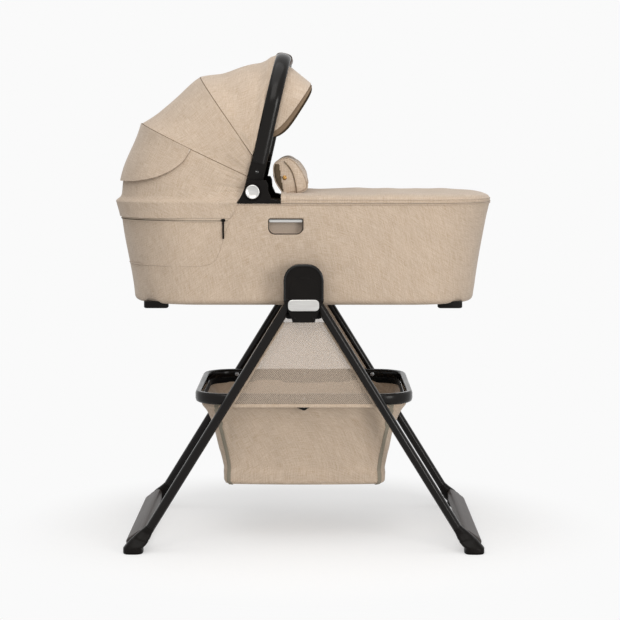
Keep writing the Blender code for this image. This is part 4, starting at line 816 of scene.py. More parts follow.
def tape(name, line, normal, half_wide, thick, material, joined=False):
    """A strip of woven tape laid along a line, flat on a surface with the given normals."""
    line, normal = np.asarray(line, float), np.asarray(normal, float)
    ahead = (np.roll(line, -1, 0) - np.roll(line, 1, 0)) if joined else np.gradient(line, axis=0)
    ahead /= np.linalg.norm(ahead, axis=1)[:, None]
    side = np.cross(normal, ahead)
    side /= np.linalg.norm(side, axis=1)[:, None]
    lanes = [line + side * half_wide * k + normal * thick * (1 - 0.5 * abs(k) ** 3)
             for k in (-1, -0.6, 0, 0.6, 1)]
    return cloth(name, np.array(lanes), thick, material, around=joined, flip=True)


# Upright seams: bound tape down the corners of the near and far walls, and round the mouth.
MOUTH_SEAM_X, LOW_SEAM_X = 0.186, 0.166
basket_normals = normals_of(basket_rows, around=True)
bindings = []
for x_name, x_sign in ENDS.items():
    for y_name, y_sign in SIDES.items():
        miss = np.abs(mouth_ring[:, 0] - x_sign * MOUTH_SEAM_X) + 10 * (mouth_ring[:, 1] * y_sign < 0)
        high_column = int(np.argmin(miss + np.abs(mouth_ring[:, 1] - y_sign * top_wide)))
        corner_spot = (x_sign * LOW_SEAM_X, y_sign * BASKET_WIDE)
        low_column = int(np.argmin(np.linalg.norm(low_ring[:, :2] - corner_spot, axis=1)))
        line = []
        for r in range(18, rows - 1):
            t = min(max((r - 40) / (rows - 42), 0.0), 1.0)
            k = int(round(low_column + (high_column - low_column) * t * t)) % columns
            line.append(np.hstack([basket_rows[r, k], basket_normals[r, k]]))
        line = spaced(line, 60)
        bindings.append(tape(f"basket_seam_tape_{x_name}_{y_name}", line[:, :3], line[:, 3:], 0.0042, 0.0009,
                             binding_tape))

centre = basket_rows[-1] - basket_normals[-1] * FABRIC / 2 + [0, 0, 0.0002]
ring_normal = basket_normals[-1] * [1, 1, 0]
ring_normal /= np.linalg.norm(ring_normal, axis=1)[:, None]
# out from the cloth and up from its edge: the tape is folded over the mouth
section = [(-0.0019, -0.012), (-0.0021, -0.001), (-0.0012, 0.0008), (0.0010, 0.0008), (0.0012, 0.0),
           (-0.0010, -0.0002), (-0.0011, -0.012)]
lanes = [[p + a * n + np.array([0, 0, b]) for a, b in section] for p, n in zip(centre, ring_normal)]
mouth_tape = place("basket_mouth_tape", skin(lanes, joined=True), binding_tape)
for piece in [basket, mouth_tape] + bindings:
    fit(piece, "hubs", ["basket_bin"] if piece is basket else [])
    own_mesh(piece)


# Side nets
# A see-through triangle of beige net is stretched between the legs of each side, from the hub down to the
# hoop. It is hemmed with a narrow opaque edge along the legs and along the bottom.

MESH_LOW, MESH_HIGH = 0.3126, 0.4965
NET_FACE = LEG_IN + 0.0004
HEM_HALF, LOW_HEM_HALF = 0.0042, 0.0034


def net_half(z):
    """Half the net's width at a height. It runs 4.5 mm behind the edge of each leg."""
    x, _ = leg_point(1.0, (PIVOT_Z - z) / math.cos(LEG_ANGLE))
    return x - (LEG_WIDE / 2 - 0.0045) / math.cos(LEG_ANGLE)


# Warp-knitted polyester net: beige yarns with open eyelets of 0.8 mm, drawn on a 3.4 mm diagonal lattice, so
# that what is behind shows through as a soft veil.
beige_net = blank_material("beige_knitted_net")
tree = beige_net.node_tree
weave = add(tree, "ShaderNodeUVMap", uv_map="weave").outputs[0]
slanted = add(tree, "ShaderNodeMapping", {"Vector": weave, "Rotation": (0.0, 0.0, math.radians(38.0)),
              "Scale": (290.0, 290.0, 1.0)})
lattice = add(tree, "ShaderNodeTexWave",
              {"Vector": slanted.outputs[0], "Scale": 0.32, "Distortion": 1.2, "Detail": 1.0,
               "Detail Scale": 1.5})
other = add(tree, "ShaderNodeTexNoise", {"Vector": weave, "Scale": 330.0, "Detail": 2.0})
thread = add(tree, "ShaderNodeMath", {0: lattice.outputs["Fac"], 1: other.outputs["Fac"]}, operation="ADD")
tone = add(tree, "ShaderNodeMix", {"Factor": other.outputs["Fac"], 6: linear("C6B29E"), 7: linear("E2D3C3")},
           data_type="RGBA")
cover = add(tree, "ShaderNodeMapRange",
            {"Value": thread.outputs[0], "From Min": 0.4, "From Max": 1.6, "To Min": 0.28, "To Max": 0.46})
bump = add(tree, "ShaderNodeBump", {"Height": thread.outputs[0], "Strength": 0.3, "Distance": 0.0005})
shader = add(tree, "ShaderNodeBsdfPrincipled", {"Base Color": tone.outputs[2], "Roughness": 0.85,
             "Alpha": cover.outputs[0], "Normal": bump.outputs[0], "Specular IOR Level": 0.2})
add(tree, "ShaderNodeOutputMaterial", {"Surface": shader.outputs[0]})

net_heights = np.linspace(MESH_LOW, MESH_HIGH, 30)
for side_name, side in SIDES.items():
    rows = []
    for z in net_heights:
        xs = np.linspace(-1, 1, 50) * net_half(z)
        rise = np.sin(np.pi * (z - MESH_LOW) / (MESH_HIGH - MESH_LOW))
        slack = 0.0006 * rise * np.cos(xs / net_half(z) * np.pi / 2)
        rows.append(np.stack([xs, side * (NET_FACE - slack), np.full(50, z)], axis=1))
    net = cloth(f"side_net_{side_name}_cloth", np.array(rows), 0.0008, beige_net, flip=side > 0)
    hem_y = side * (NET_FACE - 0.0002)
    low_line = [(x, hem_y, MESH_LOW + 0.0034) for x in np.linspace(-1, 1, 50) * (net_half(MESH_LOW) - 0.004)]
    hem_lines = [([(end * (net_half(z) - 0.0052), hem_y, z) for z in net_heights], HEM_HALF)
                 for end in ENDS.values()]
    hems = []
    for mark, (line, half_wide) in zip((0, 1, "low"), hem_lines + [(low_line, LOW_HEM_HALF)]):
        facing = np.tile([0.0, side, 0.0], (len(line), 1))
        hems.append(tape(f"side_net_hem_{side_name}_{mark}", line, facing, half_wide, 0.0007, beige_melange))
    for piece in [net] + hems:
        fit(piece, "hubs", [f"side_net_{side_name}"] if piece is net else [])
        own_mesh(piece)


# Base tray, rim tube and sockets
# The bassinet is built up from a moulded tray with four rest feet, a bent aluminium rim tube, and on each
# side a moulded socket that drops over the hub's tongue.

TUB_LOW, TUB_TOP = 0.530, 0.746
TUB_HEAD, TUB_FOOT, TUB_WIDE = 0.4215, 0.4180, 0.216
TUB_ROUND = 0.012
HEAD_CORNER, FOOT_CORNER = 0.165, 0.150
LINER_INSET, LINER_WALL = 0.0225, 0.003
RIM_TOP = TUB_TOP + GAP + LINER_WALL

# Extruded aluminium, mill finish: pale grey with faint drawing lines along the tube.
mill_aluminium = surface("mill_finish_aluminium", ("A4A6A8", "C8CACB"),
                         (1.0, 2.0, (60.0, 60.0, 1500.0)), gloss=(0.3, 0.5), more={"Metallic": 1.0})

dressed("base_tray", "base_tray_moulding", black_moulding, "bassinet", bevel=0.0010, segments=3)
dressed("rim_frame", "rim_tube", mill_aluminium, "bassinet", bevel=0)
for side_name in SIDES:
    dressed(f"adapter_{side_name}", f"hub_socket_{side_name}", black_moulding, "bassinet")


# Tub cover
# The outside of the bassinet: a padded shell of beige melange, pulled down over the rim and the tray. A zip
# seam drops from each side of the head end and runs round it low down, and each side has a finger opening.

COVER_WALL = 0.004
GRAB_X, GRAB_LONG, GRAB_LOW, GRAB_HIGH, GRAB_CORNER = -0.0385, 0.073, 0.6838, 0.7157, 0.014


def tub_extent(z):
    """Half widths of the tub at a height: head reach, foot reach and half width."""
    upright = TUB_LOW + TUB_ROUND
    share = min(max((z - upright) / (TUB_TOP - upright), 0.0), 1.1)
    drawn = 0.038 * (1 - 0.6 * share - 0.4 * share * share)
    return TUB_HEAD - drawn, TUB_FOOT - drawn, TUB_WIDE - 0.0095 * (1 - share)


def plan(head, foot, half_wide, head_corner, foot_corner, z, steps=18):
    """A level outline with its own corner radius at each end, from the middle of the foot end round to the
    left."""
    rh = min(max(head_corner, 0.0001), half_wide - 0.00005)
    rf = min(max(foot_corner, 0.0001), half_wide - 0.00005)
    points = [(foot, 0.0)] + arc(foot - rf, half_wide - rf, rf, 0, 90, steps)
    points += arc(-head + rh, half_wide - rh, rh, 90, 180, steps)
    points += arc(-head + rh, -half_wide + rh, rh, 180, 270, steps)
    points += arc(foot - rf, -half_wide + rf, rf, 270, 360, steps) + [(foot, 0.0)]
    return [(x, y, z) for x, y in points]


def tub_ring(z, inset, columns=None, floor=None):
    """The tub's outline at a height, moved inwards, with a rounded edge above its floor."""
    head, foot, wide = tub_extent(z)
    low = TUB_LOW + inset if floor is None else floor
    rise = min(max(low + TUB_ROUND - z, 0.0), TUB_ROUND)
    inset += TUB_ROUND - math.sqrt(TUB_ROUND**2 - min(rise, TUB_ROUND * 0.995) ** 2)
    outline = plan(head - inset, foot - inset, wide - inset, HEAD_CORNER - inset, FOOT_CORNER - inset, z)
    return outline if columns is None else spaced(outline, columns + 1)[:-1]


def tub_side_y(x, z):
    """Distance of the tub's wall from the middle plane, at a place along it."""
    head, foot, wide = tub_extent(z)
    if x < -head + HEAD_CORNER:
        return wide - HEAD_CORNER + math.sqrt(max(HEAD_CORNER**2 - (-head + HEAD_CORNER - x) ** 2, 0.0))
    if x > foot - FOOT_CORNER:
        return wide - FOOT_CORNER + math.sqrt(max(FOOT_CORNER**2 - (x - foot + FOOT_CORNER) ** 2, 0.0))
    return wide


columns = 460
heights = list(TUB_LOW + TUB_ROUND * (1 - np.cos(np.linspace(0.1, math.pi / 2, 6))))
heights += list(np.linspace(TUB_LOW + TUB_ROUND + 0.004, TUB_TOP, 46))
rings = []
for share in (0.001, 0.2, 0.45, 0.7, 0.88, 0.97):
    ring = tub_ring(TUB_LOW, 0.0, columns)
    rings.append(np.array(ring) * [share, share, 1.0] + [-0.0015 * (1 - share), 0.0, 0.0])
rings += [tub_ring(z, 0.0, columns) for z in heights]
grid = np.array(rings)
grid[0] = grid[0].mean(axis=0)
outward = normals_of(grid, around=True)
height = grid[:, :, 2]
calm = np.clip(np.minimum((height - TUB_LOW - 0.004) / 0.03, (TUB_TOP - height) / 0.012), 0, 1)
swell = wander(grid, 0.21, 21) * 0.0009 + wander(grid * [1.0, 1.0, 0.45], 0.070, 22) * 0.00045
# drag lines in the cloth run from the finger opening towards the foot end, and from the hubs up and out:
# x, z, length, height, slant and depth of each
DRAGS = ((0.004, 0.682, 0.020, 0.0040, 0.45, 0.0013), (-0.078, 0.678, 0.016, 0.0045, -0.6, 0.0010),
         (0.070, 0.600, 0.050, 0.008, 0.55, 0.0007), (-0.085, 0.598, 0.050, 0.008, -0.55, 0.0007))
on_side = np.abs(grid[:, :, 1]) > 0.15
pull = np.zeros(height.shape)
for x, z, long, tall, slant, deep in DRAGS:
    dx = grid[:, :, 0] - x
    off = height - z - slant * dx
    pull -= deep * np.exp(-((dx / long) ** 2)) * np.exp(-((off / tall) ** 2)) * on_side
grid += outward * ((swell + pull) * calm)[:, :, None]
# painted shade: darker at the tub's foot, in the hubs' shadow on the sides and in the drag lines
foot_shade = np.exp(-(((height - TUB_LOW) / 0.010) ** 2))
hub_shade = np.exp(-((grid[:, :, 0] / 0.052) ** 4)) * np.clip((0.632 - height) / 0.02, 0, 1) * on_side
shade = 1 - 0.10 * foot_shade - 0.16 * hub_shade + 40.0 * pull
cover = cloth("tub_cover_cloth", grid, 0.0022, beige_melange, around=True, shade=shade, weld=0)


def cut(piece, tool):
    """Cuts a closed mesh out of a piece, and keeps the result as a plain mesh."""
    bmesh.ops.recalc_face_normals(tool, faces=tool.faces)
    mesh = bpy.data.meshes.new("cutter")
    tool.to_mesh(mesh)
    tool.free()
    cutter = bpy.data.objects.new("cutter", mesh)
    scene.collection.objects.link(cutter)
    knife = piece.modifiers.new("cut", "BOOLEAN")
    knife.operation = "DIFFERENCE"
    knife.solver = "EXACT"
    knife.object = cutter
    plain = baked(piece)
    piece.modifiers.clear()
    old, piece.data = piece.data, plain
    bpy.data.meshes.remove(old)
    bpy.data.objects.remove(cutter)


def grab_outline(grow):
    """The finger opening: a flat upper edge with small corners, and round lower corners."""
    half_long = GRAB_LONG / 2 + grow
    low, high, r = GRAB_LOW - grow, GRAB_HIGH + grow, GRAB_CORNER
    right = arc(GRAB_X + half_long - r, low + r, r, -90, 0, 12)
    right += arc(GRAB_X + half_long - 0.003, high - 0.003, 0.003, 0, 90, 4)
    left = [(2 * GRAB_X - x, z) for x, z in reversed(right)]
    return right + left


for side in SIDES.values():
    tool = skin([[(x, side * y, z) for x, z in grab_outline(0.0)]
                 for y in (TUB_WIDE - 0.02, TUB_WIDE + 0.02)])
    cut(cover, tool)
fit(cover, "bassinet", ["tub_cover"])

# Black moulded lip round each finger opening.
for side_name, side in SIDES.items():
    line = [(x, side * (tub_side_y(x, z) + 0.0004), z) for x, z in grab_outline(0.0002)]
    line = spaced(line + [line[0]], 121)[:-1]
    lip = swept(line, oval(0.0007, 0.0009, 2.0, 10), (0, side, 0), joined=True)
    place(f"finger_opening_lip_{side_name}", lip, black_moulding, "bassinet")


def cord_along(name, line, radius, material, flatten=0.6, joined=False):
    """A thin piped seam along a line, with UVs in metres so that it is the same cloth as the panels."""
    line = np.asarray(line, float)
    ahead = (np.roll(line, -1, 0) - np.roll(line, 1, 0)) if joined else np.gradient(line, axis=0)
    ahead /= np.linalg.norm(ahead, axis=1)[:, None]
    away = line * [1.0, 1.0, 0.25]
    away /= np.linalg.norm(away, axis=1)[:, None]
    side = np.cross(ahead, away)
    side /= np.linalg.norm(side, axis=1)[:, None]
    out = np.cross(side, ahead)
    turns = np.linspace(0, 2 * math.pi, 9)[:-1]
    lanes = [line + radius * (math.cos(a) * side + flatten * math.sin(a) * out) for a in turns]
    bm = skin(np.array(lanes).transpose(1, 0, 2), joined=joined)
    uv = bm.loops.layers.uv.new("weave")
    run = np.concatenate([[0.0], np.cumsum(np.linalg.norm(np.diff(line, axis=0), axis=1))])
    bm.verts.index_update()
    for face in bm.faces:
        for loop in face.loops:
            k = loop.vert.index
            loop[uv].uv = (run[k // 8], (k % 8) * radius * 0.8)
    # painted shade along the seam: the piping is a tenth darker than the cloth
    painted_shade = bm.verts.layers.float.new("shade")
    for vert in bm.verts:
        vert[painted_shade] = 0.90
    return place(name, bm, material, sharp=70.0)


# The zip seam: from under the canopy it drops, bends forwards and runs round the head end.
ZIP_LOW = 0.6145
ZIP_DROP = [(-0.159, 0.7085), (-0.1645, 0.695), (-0.170, 0.680), (-0.1755, 0.662), (-0.182, 0.643),
            (-0.192, 0.626), (-0.210, 0.6165), (-0.245, ZIP_LOW)]
near = [(x, -tub_side_y(x, z) - 0.0004, z) for x, z in through(ZIP_DROP, 50)]
level = spaced([p for p in tub_ring(ZIP_LOW, -0.0004) if p[0] < -0.248], 90).tolist()
level.sort(key=lambda p: math.atan2(p[1], -(p[0] + 0.2)))
line = near + level + [(x, -y, z) for x, y, z in near[::-1]]
seam = cord_along("zip_seam_piping", spaced(line, 420), 0.0013, beige_melange)
fit(seam, "bassinet")

# Stitches beside the seam, all from one tree that walks a path: each is a short thread lying in the cloth.
stitches = bpy.data.node_groups.new("stitches", "GeometryNodeTree")
socket(stitches, "Path", "Geometry")
pitch_in = socket(stitches, "Pitch", "Float")
long_in = socket(stitches, "Length", "Float")
thick_in = socket(stitches, "Thickness", "Float")
thread_in = socket(stitches, "Thread", "Material")
socket(stitches, "Stitches", "Geometry", "OUTPUT")
given = add(stitches, "NodeGroupInput")
curve = add(stitches, "GeometryNodeMeshToCurve", {"Mesh": given.outputs["Path"]})
steps = add(stitches, "GeometryNodeResampleCurve",
            {"Curve": curve.outputs[0], "Length": given.outputs["Pitch"]}, mode="LENGTH")
ball = add(stitches, "GeometryNodeMeshUVSphere", {"Segments": 6, "Rings": 4, "Radius": 0.5})
size = add(stitches, "ShaderNodeCombineXYZ",
           {0: given.outputs["Thickness"], 1: given.outputs["Thickness"], 2: given.outputs["Length"]})
ahead = add(stitches, "GeometryNodeInputTangent")
turn = add(stitches, "FunctionNodeAlignRotationToVector", {"Vector": ahead.outputs[0]}, axis="Z")
laid = add(stitches, "GeometryNodeInstanceOnPoints",
           {"Points": steps.outputs[0], "Instance": ball.outputs["Mesh"], "Rotation": turn.outputs[0],
            "Scale": size.outputs[0]})
solid_thread = add(stitches, "GeometryNodeRealizeInstances", {"Geometry": laid.outputs[0]})
smooth_thread = add(stitches, "GeometryNodeSetShadeSmooth", {"Geometry": solid_thread.outputs[0]})
spun = add(stitches, "GeometryNodeSetMaterial",
           {"Geometry": smooth_thread.outputs[0], "Material": given.outputs["Thread"]})
add(stitches, "NodeGroupOutput", {0: spun.outputs[0]})

# Polyester sewing thread, a shade paler than the cloth, with a twist of 0.4 mm drawn at 0.9 mm.
sewing_thread = surface("cream_sewing_thread", ("B7A491", "DDD0C2"), (1100.0, 1.0),
                        gloss=0.6, more={"Sheen Weight": 0.2})


def sewn(name, line, body, pitch=0.0042, long=0.0030, thick=0.0008):
    """A row of stitches along a line on one body."""
    grown(name, stitches, line, {pitch_in: pitch, long_in: long, thick_in: thick, thread_in: sewing_thread},
          body=body)


sewn("zip_seam_stitches", spaced([(x, y, z + 0.0042) for x, y, z in line], 300), "bassinet")


# Lining and mattress
# Inside is a quilted pale lining, turned over the rim and piped there. A thin crowned mattress lies on its
# floor.

LINER_FLOOR = TUB_LOW + COVER_WALL + 0.0025 + 2 * GAP
MATTRESS_TOP = TUB_LOW + 0.045
LAST_FRAME = 20

columns = 380
inner_wall = LINER_INSET + LINER_WALL
well = LINER_FLOOR + LINER_WALL
# height and distance in from the tub's side: over the rim, down the wall and round the floor's edge
path = [(TUB_TOP + GAP + 0.0004, 0.0006), (RIM_TOP - 0.0010, 0.0002), (RIM_TOP, 0.0016),
        (RIM_TOP + 0.0004, 0.006), (RIM_TOP + 0.0004, inner_wall - 0.006),
        (RIM_TOP - 0.0008, inner_wall - 0.0014), (RIM_TOP - 0.004, inner_wall - 0.0002)]
path += [(z, inner_wall) for z in np.linspace(RIM_TOP - 0.010, well + 0.013, 26)]
path += [(well + h, inner_wall) for h in (0.009, 0.006, 0.003, 0.001, 0.0)]
rings = []
for z, inset in path:
    low = well if z < TUB_TOP - 0.02 else TUB_LOW - 0.1
    rings.append(tub_ring(z, inset, columns, floor=low))
last = np.array(rings[-1])
rings += [last * [share, share, 1.0] for share in (0.9, 0.7, 0.45, 0.2, 0.001)]
grid = np.array(rings)
grid[-1] = grid[-1].mean(axis=0)
inward = normals_of(grid, around=True)
height = grid[:, :, 2]
on_wall = np.clip((RIM_TOP - 0.006 - height) / 0.02, 0, 1)
on_wall *= np.clip((height - LINER_FLOOR - 0.006) / 0.02, 0, 1)
cells = np.abs(np.sin(np.linspace(0, 1, columns, endpoint=False) * 44 * np.pi))[None, :]
quilt = np.abs(np.sin(height / 0.034 * np.pi)) * cells
grid += inward * ((quilt * 0.0022 - 0.0008) * on_wall)[:, :, None]
# painted shade in the quilting's seams
shade = 1 - 0.08 * on_wall * (quilt < 0.12)
lining = cloth("inner_liner_cloth", grid, 0.0018, pale_lining, around=True, weld=-1, shade=shade)
rim_line = [(x, y, TUB_TOP + 0.0012) for x, y, _ in tub_ring(TUB_TOP, -0.0004, 600)]
rim_piping = cord_along("rim_piping", rim_line, 0.0019, beige_melange, flatten=0.85, joined=True)
fit(lining, "bassinet", ["inner_liner"])
fit(rim_piping, "bassinet")


def filled(name, bm, voxel, cap, material, pressure=4.0):
    """A padded piece: the shape is remeshed, blown up by a cloth simulation, capped, applied and smoothed."""
    shell = place(name, bm, material)
    remesh = shell.modifiers.new("even_mesh", "REMESH")
    remesh.mode = "VOXEL"
    remesh.voxel_size = voxel
    plain = baked(shell)
    shell.modifiers.clear()
    shell.data = plain
    blow = shell.modifiers.new("blown_up", "CLOTH")
    blow.settings.use_pressure = True
    blow.settings.uniform_pressure_force = pressure
    blow.settings.effector_weights.gravity = 0.0
    blow.settings.quality = 5
    blow.point_cache.frame_start, blow.point_cache.frame_end = 1, LAST_FRAME
    for frame_number in range(1, LAST_FRAME + 1):
        scene.frame_set(frame_number)
    ready = shell.evaluated_get(bpy.context.evaluated_depsgraph_get())
    before, after = np.empty(len(plain.vertices) * 3), np.empty(len(plain.vertices) * 3)
    plain.vertices.foreach_get("co", before)
    ready.data.vertices.foreach_get("co", after)
    move = (after - before).reshape(-1, 3)
    far = np.linalg.norm(move, axis=1)
    move *= np.minimum(1.0, cap / np.maximum(far, 1e-9))[:, None]
    shell.modifiers.clear()
    plain.vertices.foreach_set("co", before + move.ravel())
    scene.frame_set(1)
    finer = shell.modifiers.new("finer", "SUBSURF")
    finer.levels = finer.render_levels = 1
    smooth = baked(shell)
    shell.modifiers.clear()
    shell.data = smooth
    smooth.materials.clear()
    smooth.materials.append(material)
    smooth.shade_smooth()
    return shell


# The lining cotton again for the filled mattress, which has no UVs: it follows the piece's own coordinates.
mattress_cotton = melange("pale_mattress_cotton", "EDE7DE", "DCD3C8", "C9BEB0", slub=0.7, solid=True,
                          slot="pale_lining_cloth")

floor_z = LINER_FLOOR + LINER_WALL + GAP
inset = LINER_INSET + LINER_WALL + 0.002 + 0.007
# height and how much further in, from the floor's edge to the crown
MATTRESS_STEPS = ((floor_z + 0.006, 0.004), (floor_z + 0.009, 0.0), (MATTRESS_TOP - 0.013, 0.0),
                  (MATTRESS_TOP - 0.008, 0.006), (MATTRESS_TOP - 0.007, 0.040))
rings = [tub_ring(z, inset + more, 150, floor=floor_z) for z, more in MATTRESS_STEPS]
mattress = filled("mattress_pad", skin(rings), 0.006, 0.006, mattress_cotton)
fit(mattress, "bassinet", ["mattress"])


# Finger cups, release levers and zip
# Behind each finger opening is a moulded taupe cup with a satin silver lever that is pulled up to free the
# bassinet. A coil zip on woven tape joins the canopy's skirt to the tub round the head end.

# Nylon moulding in taupe: matt, with a spark-eroded texture of 0.3 mm, drawn at 1.5 mm.
taupe_moulding = surface("taupe_nylon_moulding", ("A29283", "BCAC9C"), (650.0, 3.0),
                         gloss=0.62, bump=(0.2, 0.0004))

for side_name in SIDES:
    dressed(f"grab_cup_{side_name}", f"finger_cup_{side_name}", taupe_moulding, "bassinet", bevel=0.0006)
    dressed(f"release_lever_{side_name}", f"silver_release_lever_{side_name}", satin_nickel,
            f"lever_{side_name}")

ZIP_Z, ZIP_TALL, ZIP_END_X = 0.713, 0.008, -0.163
# Polyester zip tape, a shade paler than the cloth, with a fine warp rib.
zip_weave = melange("pale_beige_zip_tape", "E0D3C4", "CDBBA6", "B5A18B", slub=0.7, sheen=0.1,
                    slot="beige_zip_tape")


def round_head(z, inset):
    """A level line from one side of the tub round its head end to the other, near side first."""
    ring = [p for p in tub_ring(z, inset) if p[0] < ZIP_END_X - 0.004]
    ring.sort(key=lambda p: math.atan2(p[1], -(p[0] - ZIP_END_X)))
    side = abs(ring[0][1])
    return [(ZIP_END_X, -side, z)] + ring + [(ZIP_END_X, side, z)]


# height and distance out from the tub, from the tape's lower edge up
TAPE_STEPS = ((ZIP_Z - ZIP_TALL / 2, 0.0004), (ZIP_Z - ZIP_TALL / 2 + 0.0006, 0.0013), (ZIP_Z, 0.0015),
              (ZIP_Z + ZIP_TALL / 2, 0.0013))
rows = np.array([spaced(round_head(z, -out), 260) for z, out in TAPE_STEPS])
zip_strip = cloth("zip_tape_weave", rows, 0.0008, zip_weave, flip=True)
fit(zip_strip, "bassinet", ["zip_tape"])

# Nylon zip coil: dark grey-brown monofilament with a soft gloss and a slight tone change from loop to loop.
# Every loop is a bent wire, drawn as a pill by the tree of the stitches.
coil_nylon = surface("grey_brown_nylon_coil", ("5A4C40", "8A7967"), (500.0, 1.0), gloss=0.4)
coil = grown("zip_coil", stitches, spaced(round_head(ZIP_Z - 0.0008, -0.0018), 300),
             {pitch_in: 0.0016, long_in: 0.0012, thick_in: 0.0022, thread_in: coil_nylon}, body="bassinet")
dressed("zip_slider", "zip_slider_and_pull", black_moulding, "zip_slider", bevel=0.0006)


# Boot cover and wind flap
# A crowned cover of the same melange zips over the foot end, with a band round its edge, and is open to the
# head. Its edge carries a padded wind flap, folded over and held by two brass snaps.

BOOT_START, BOOT_CROWN, BOOT_BAND = -0.0485, 0.0225, 0.0075
# Dark brown twill for the inner faces of the boot cover, the visor and its hem. A solid copy is painted
# shade on the wind flap, on the side of the roll that faces the canopy.
DARK_BROWN_TONES = ("75654F", "5D4E3D", "44382C")
brown_twill = melange("dark_brown_twill", *DARK_BROWN_TONES, slub=0.8, sheen=0.1)
flap_painted_shade = melange("brown_painted_shade_on_pads", *DARK_BROWN_TONES, slub=0.8, sheen=0.1, solid=True)


def boot_line(height, inset, count):
    """A level line of the boot cover, open at the head: along the near side, round the foot end and back."""
    _, foot, wide = tub_extent(TUB_TOP)
    corner = max(min(FOOT_CORNER - inset, wide - inset - 0.0002), 0.0002)
    half = wide - inset
    points = [(BOOT_START, -half)] + arc(foot - inset - corner, -half + corner, corner, 270, 360, 24)
    points += arc(foot - inset - corner, half - corner, corner, 0, 90, 24) + [(BOOT_START, half)]
    return [(x, y, RIM_TOP + height) for x, y in spaced([(x, y, 0.0) for x, y in points], count)[:, :2]]


columns = 300
# height above the rim and distance in from the tub's side, from the edge up to the crown
BOOT_STEPS = [(GAP, 0.0003), (0.002, -0.0006), (BOOT_BAND * 0.7, -0.0007), (BOOT_BAND, 0.0),
              (BOOT_BAND + 0.0020, 0.0012), (BOOT_CROWN * 0.58, 0.0045), (BOOT_CROWN * 0.70, 0.0095),
              (BOOT_CROWN * 0.80, 0.018), (BOOT_CROWN * 0.88, 0.032), (BOOT_CROWN * 0.95, 0.056),
              (BOOT_CROWN, 0.100), (BOOT_CROWN, 0.150), (BOOT_CROWN, TUB_WIDE - 0.0004)]
grid = np.array([boot_line(h, max(i, -0.0008), columns) for h, i in through(BOOT_STEPS, 62)])
grid[-1, :, 1] = 0.0
flatness = np.clip((grid[:, :, 2] - RIM_TOP - BOOT_BAND) / (BOOT_CROWN - BOOT_BAND), 0, 1)
long_swell = wander(grid * [1.0, 0.6, 0.0], 0.16, 41) * 0.0014
long_swell += wander(grid * [1.0, 0.35, 0.0], 0.060, 42) * 0.0005
ease = np.exp(-(((grid[:, :, 0] - BOOT_START) / 0.020) ** 2))
grid[:, :, 2] += flatness * (long_swell - 0.0008 * ease)
pucker = np.sin(grid[:, :, 0] * 2 * math.pi / 0.023 + grid[:, :, 1] * 40) * 0.00035
grid[:, :, 2] += pucker * np.exp(-(((grid[:, :, 2] - RIM_TOP - 0.011) / 0.004) ** 2))
# the weave lies flat over the crown and is turned down at the sides
away = np.stack([np.gradient(grid[0][:, 1]), -np.gradient(grid[0][:, 0])], axis=1)
away /= np.linalg.norm(away, axis=1)[:, None]
fall = np.maximum(TUB_TOP + BOOT_CROWN - grid[:, :, 2], 0.0)
lay = grid[:, :, :2] + away[None, :, :] * (fall * (flatness < 0.999))[:, :, None]
# painted shade along the piped lower edge and along the band's seam
shade = 1 - 0.10 * np.exp(-(((grid[:, :, 2] - RIM_TOP - 0.0003) / 0.0016) ** 2))
shade -= 0.05 * np.exp(-(((grid[:, :, 2] - RIM_TOP - BOOT_BAND) / 0.0012) ** 2))
boot = cloth("boot_cover_cloth", grid, 0.0022, beige_melange, shade=shade, weld=-1, lay=lay,
             inside=brown_twill)

cords = []
for k, (height, inset, radius) in enumerate(((0.0012, -0.0010, 0.0014), (BOOT_BAND, -0.0004, 0.0012))):
    line = boot_line(height, inset, 420)
    cords.append(cord_along(f"boot_cover_piping_{k}", line, radius, beige_melange, flatten=0.8))
# hem along the head edge, over the crown
edge = spaced(np.vstack([grid[6:, 0], grid[6:, -1][::-1]]), 200)
cords.append(tape("boot_cover_head_hem", edge + [0.0055, 0.0, 0.0002], np.tile([0.0, 0.0, 1.0], (200, 1)),
                  0.0055, 0.0008, beige_melange))
fit(boot, "bassinet", ["boot_cover"])
for piece in cords:
    fit(piece, "bassinet")
sewn("boot_cover_stitches", boot_line(BOOT_BAND + 0.0048, 0.0035, 400), "bassinet")

# Wind flap: a filled roll of cloth. The end nearest the camera shows its profile and its piped seam.
FLAP_X, FLAP_HALF = -0.056, 0.175
FLAP_SIZE = 0.955
low = RIM_TOP + 0.66 * BOOT_CROWN + 2 * GAP
# the roll's outline, from its lower edge forwards, over the top and down its open side
FLAP_PROFILE = ((0.0150, 0.0005), (0.0285, 0.0050), (0.0560, 0.0075), (0.0660, 0.020), (0.0575, 0.046),
                (0.0430, 0.068), (0.0300, 0.0800), (0.0170, 0.0840), (0.0030, 0.0800), (-0.0085, 0.0705),
                (-0.0110, 0.0540), (-0.0055, 0.028))
FLAP_FOLD = ((0.0135, 0.074), (0.0255, 0.060), (0.0330, 0.045), (0.0385, 0.022), (0.0410, 0.004))
outline = through([(FLAP_X + x, low + z) for x, z in FLAP_PROFILE], 72, closed=True)
centre_x = outline[:, 0].mean()


def flap_ring(y, size):
    """The roll's outline at a place across the object, at a share of its size."""
    return [(centre_x + (x - centre_x) * size, y, low + (z - low) * size + 0.001) for x, z in outline]


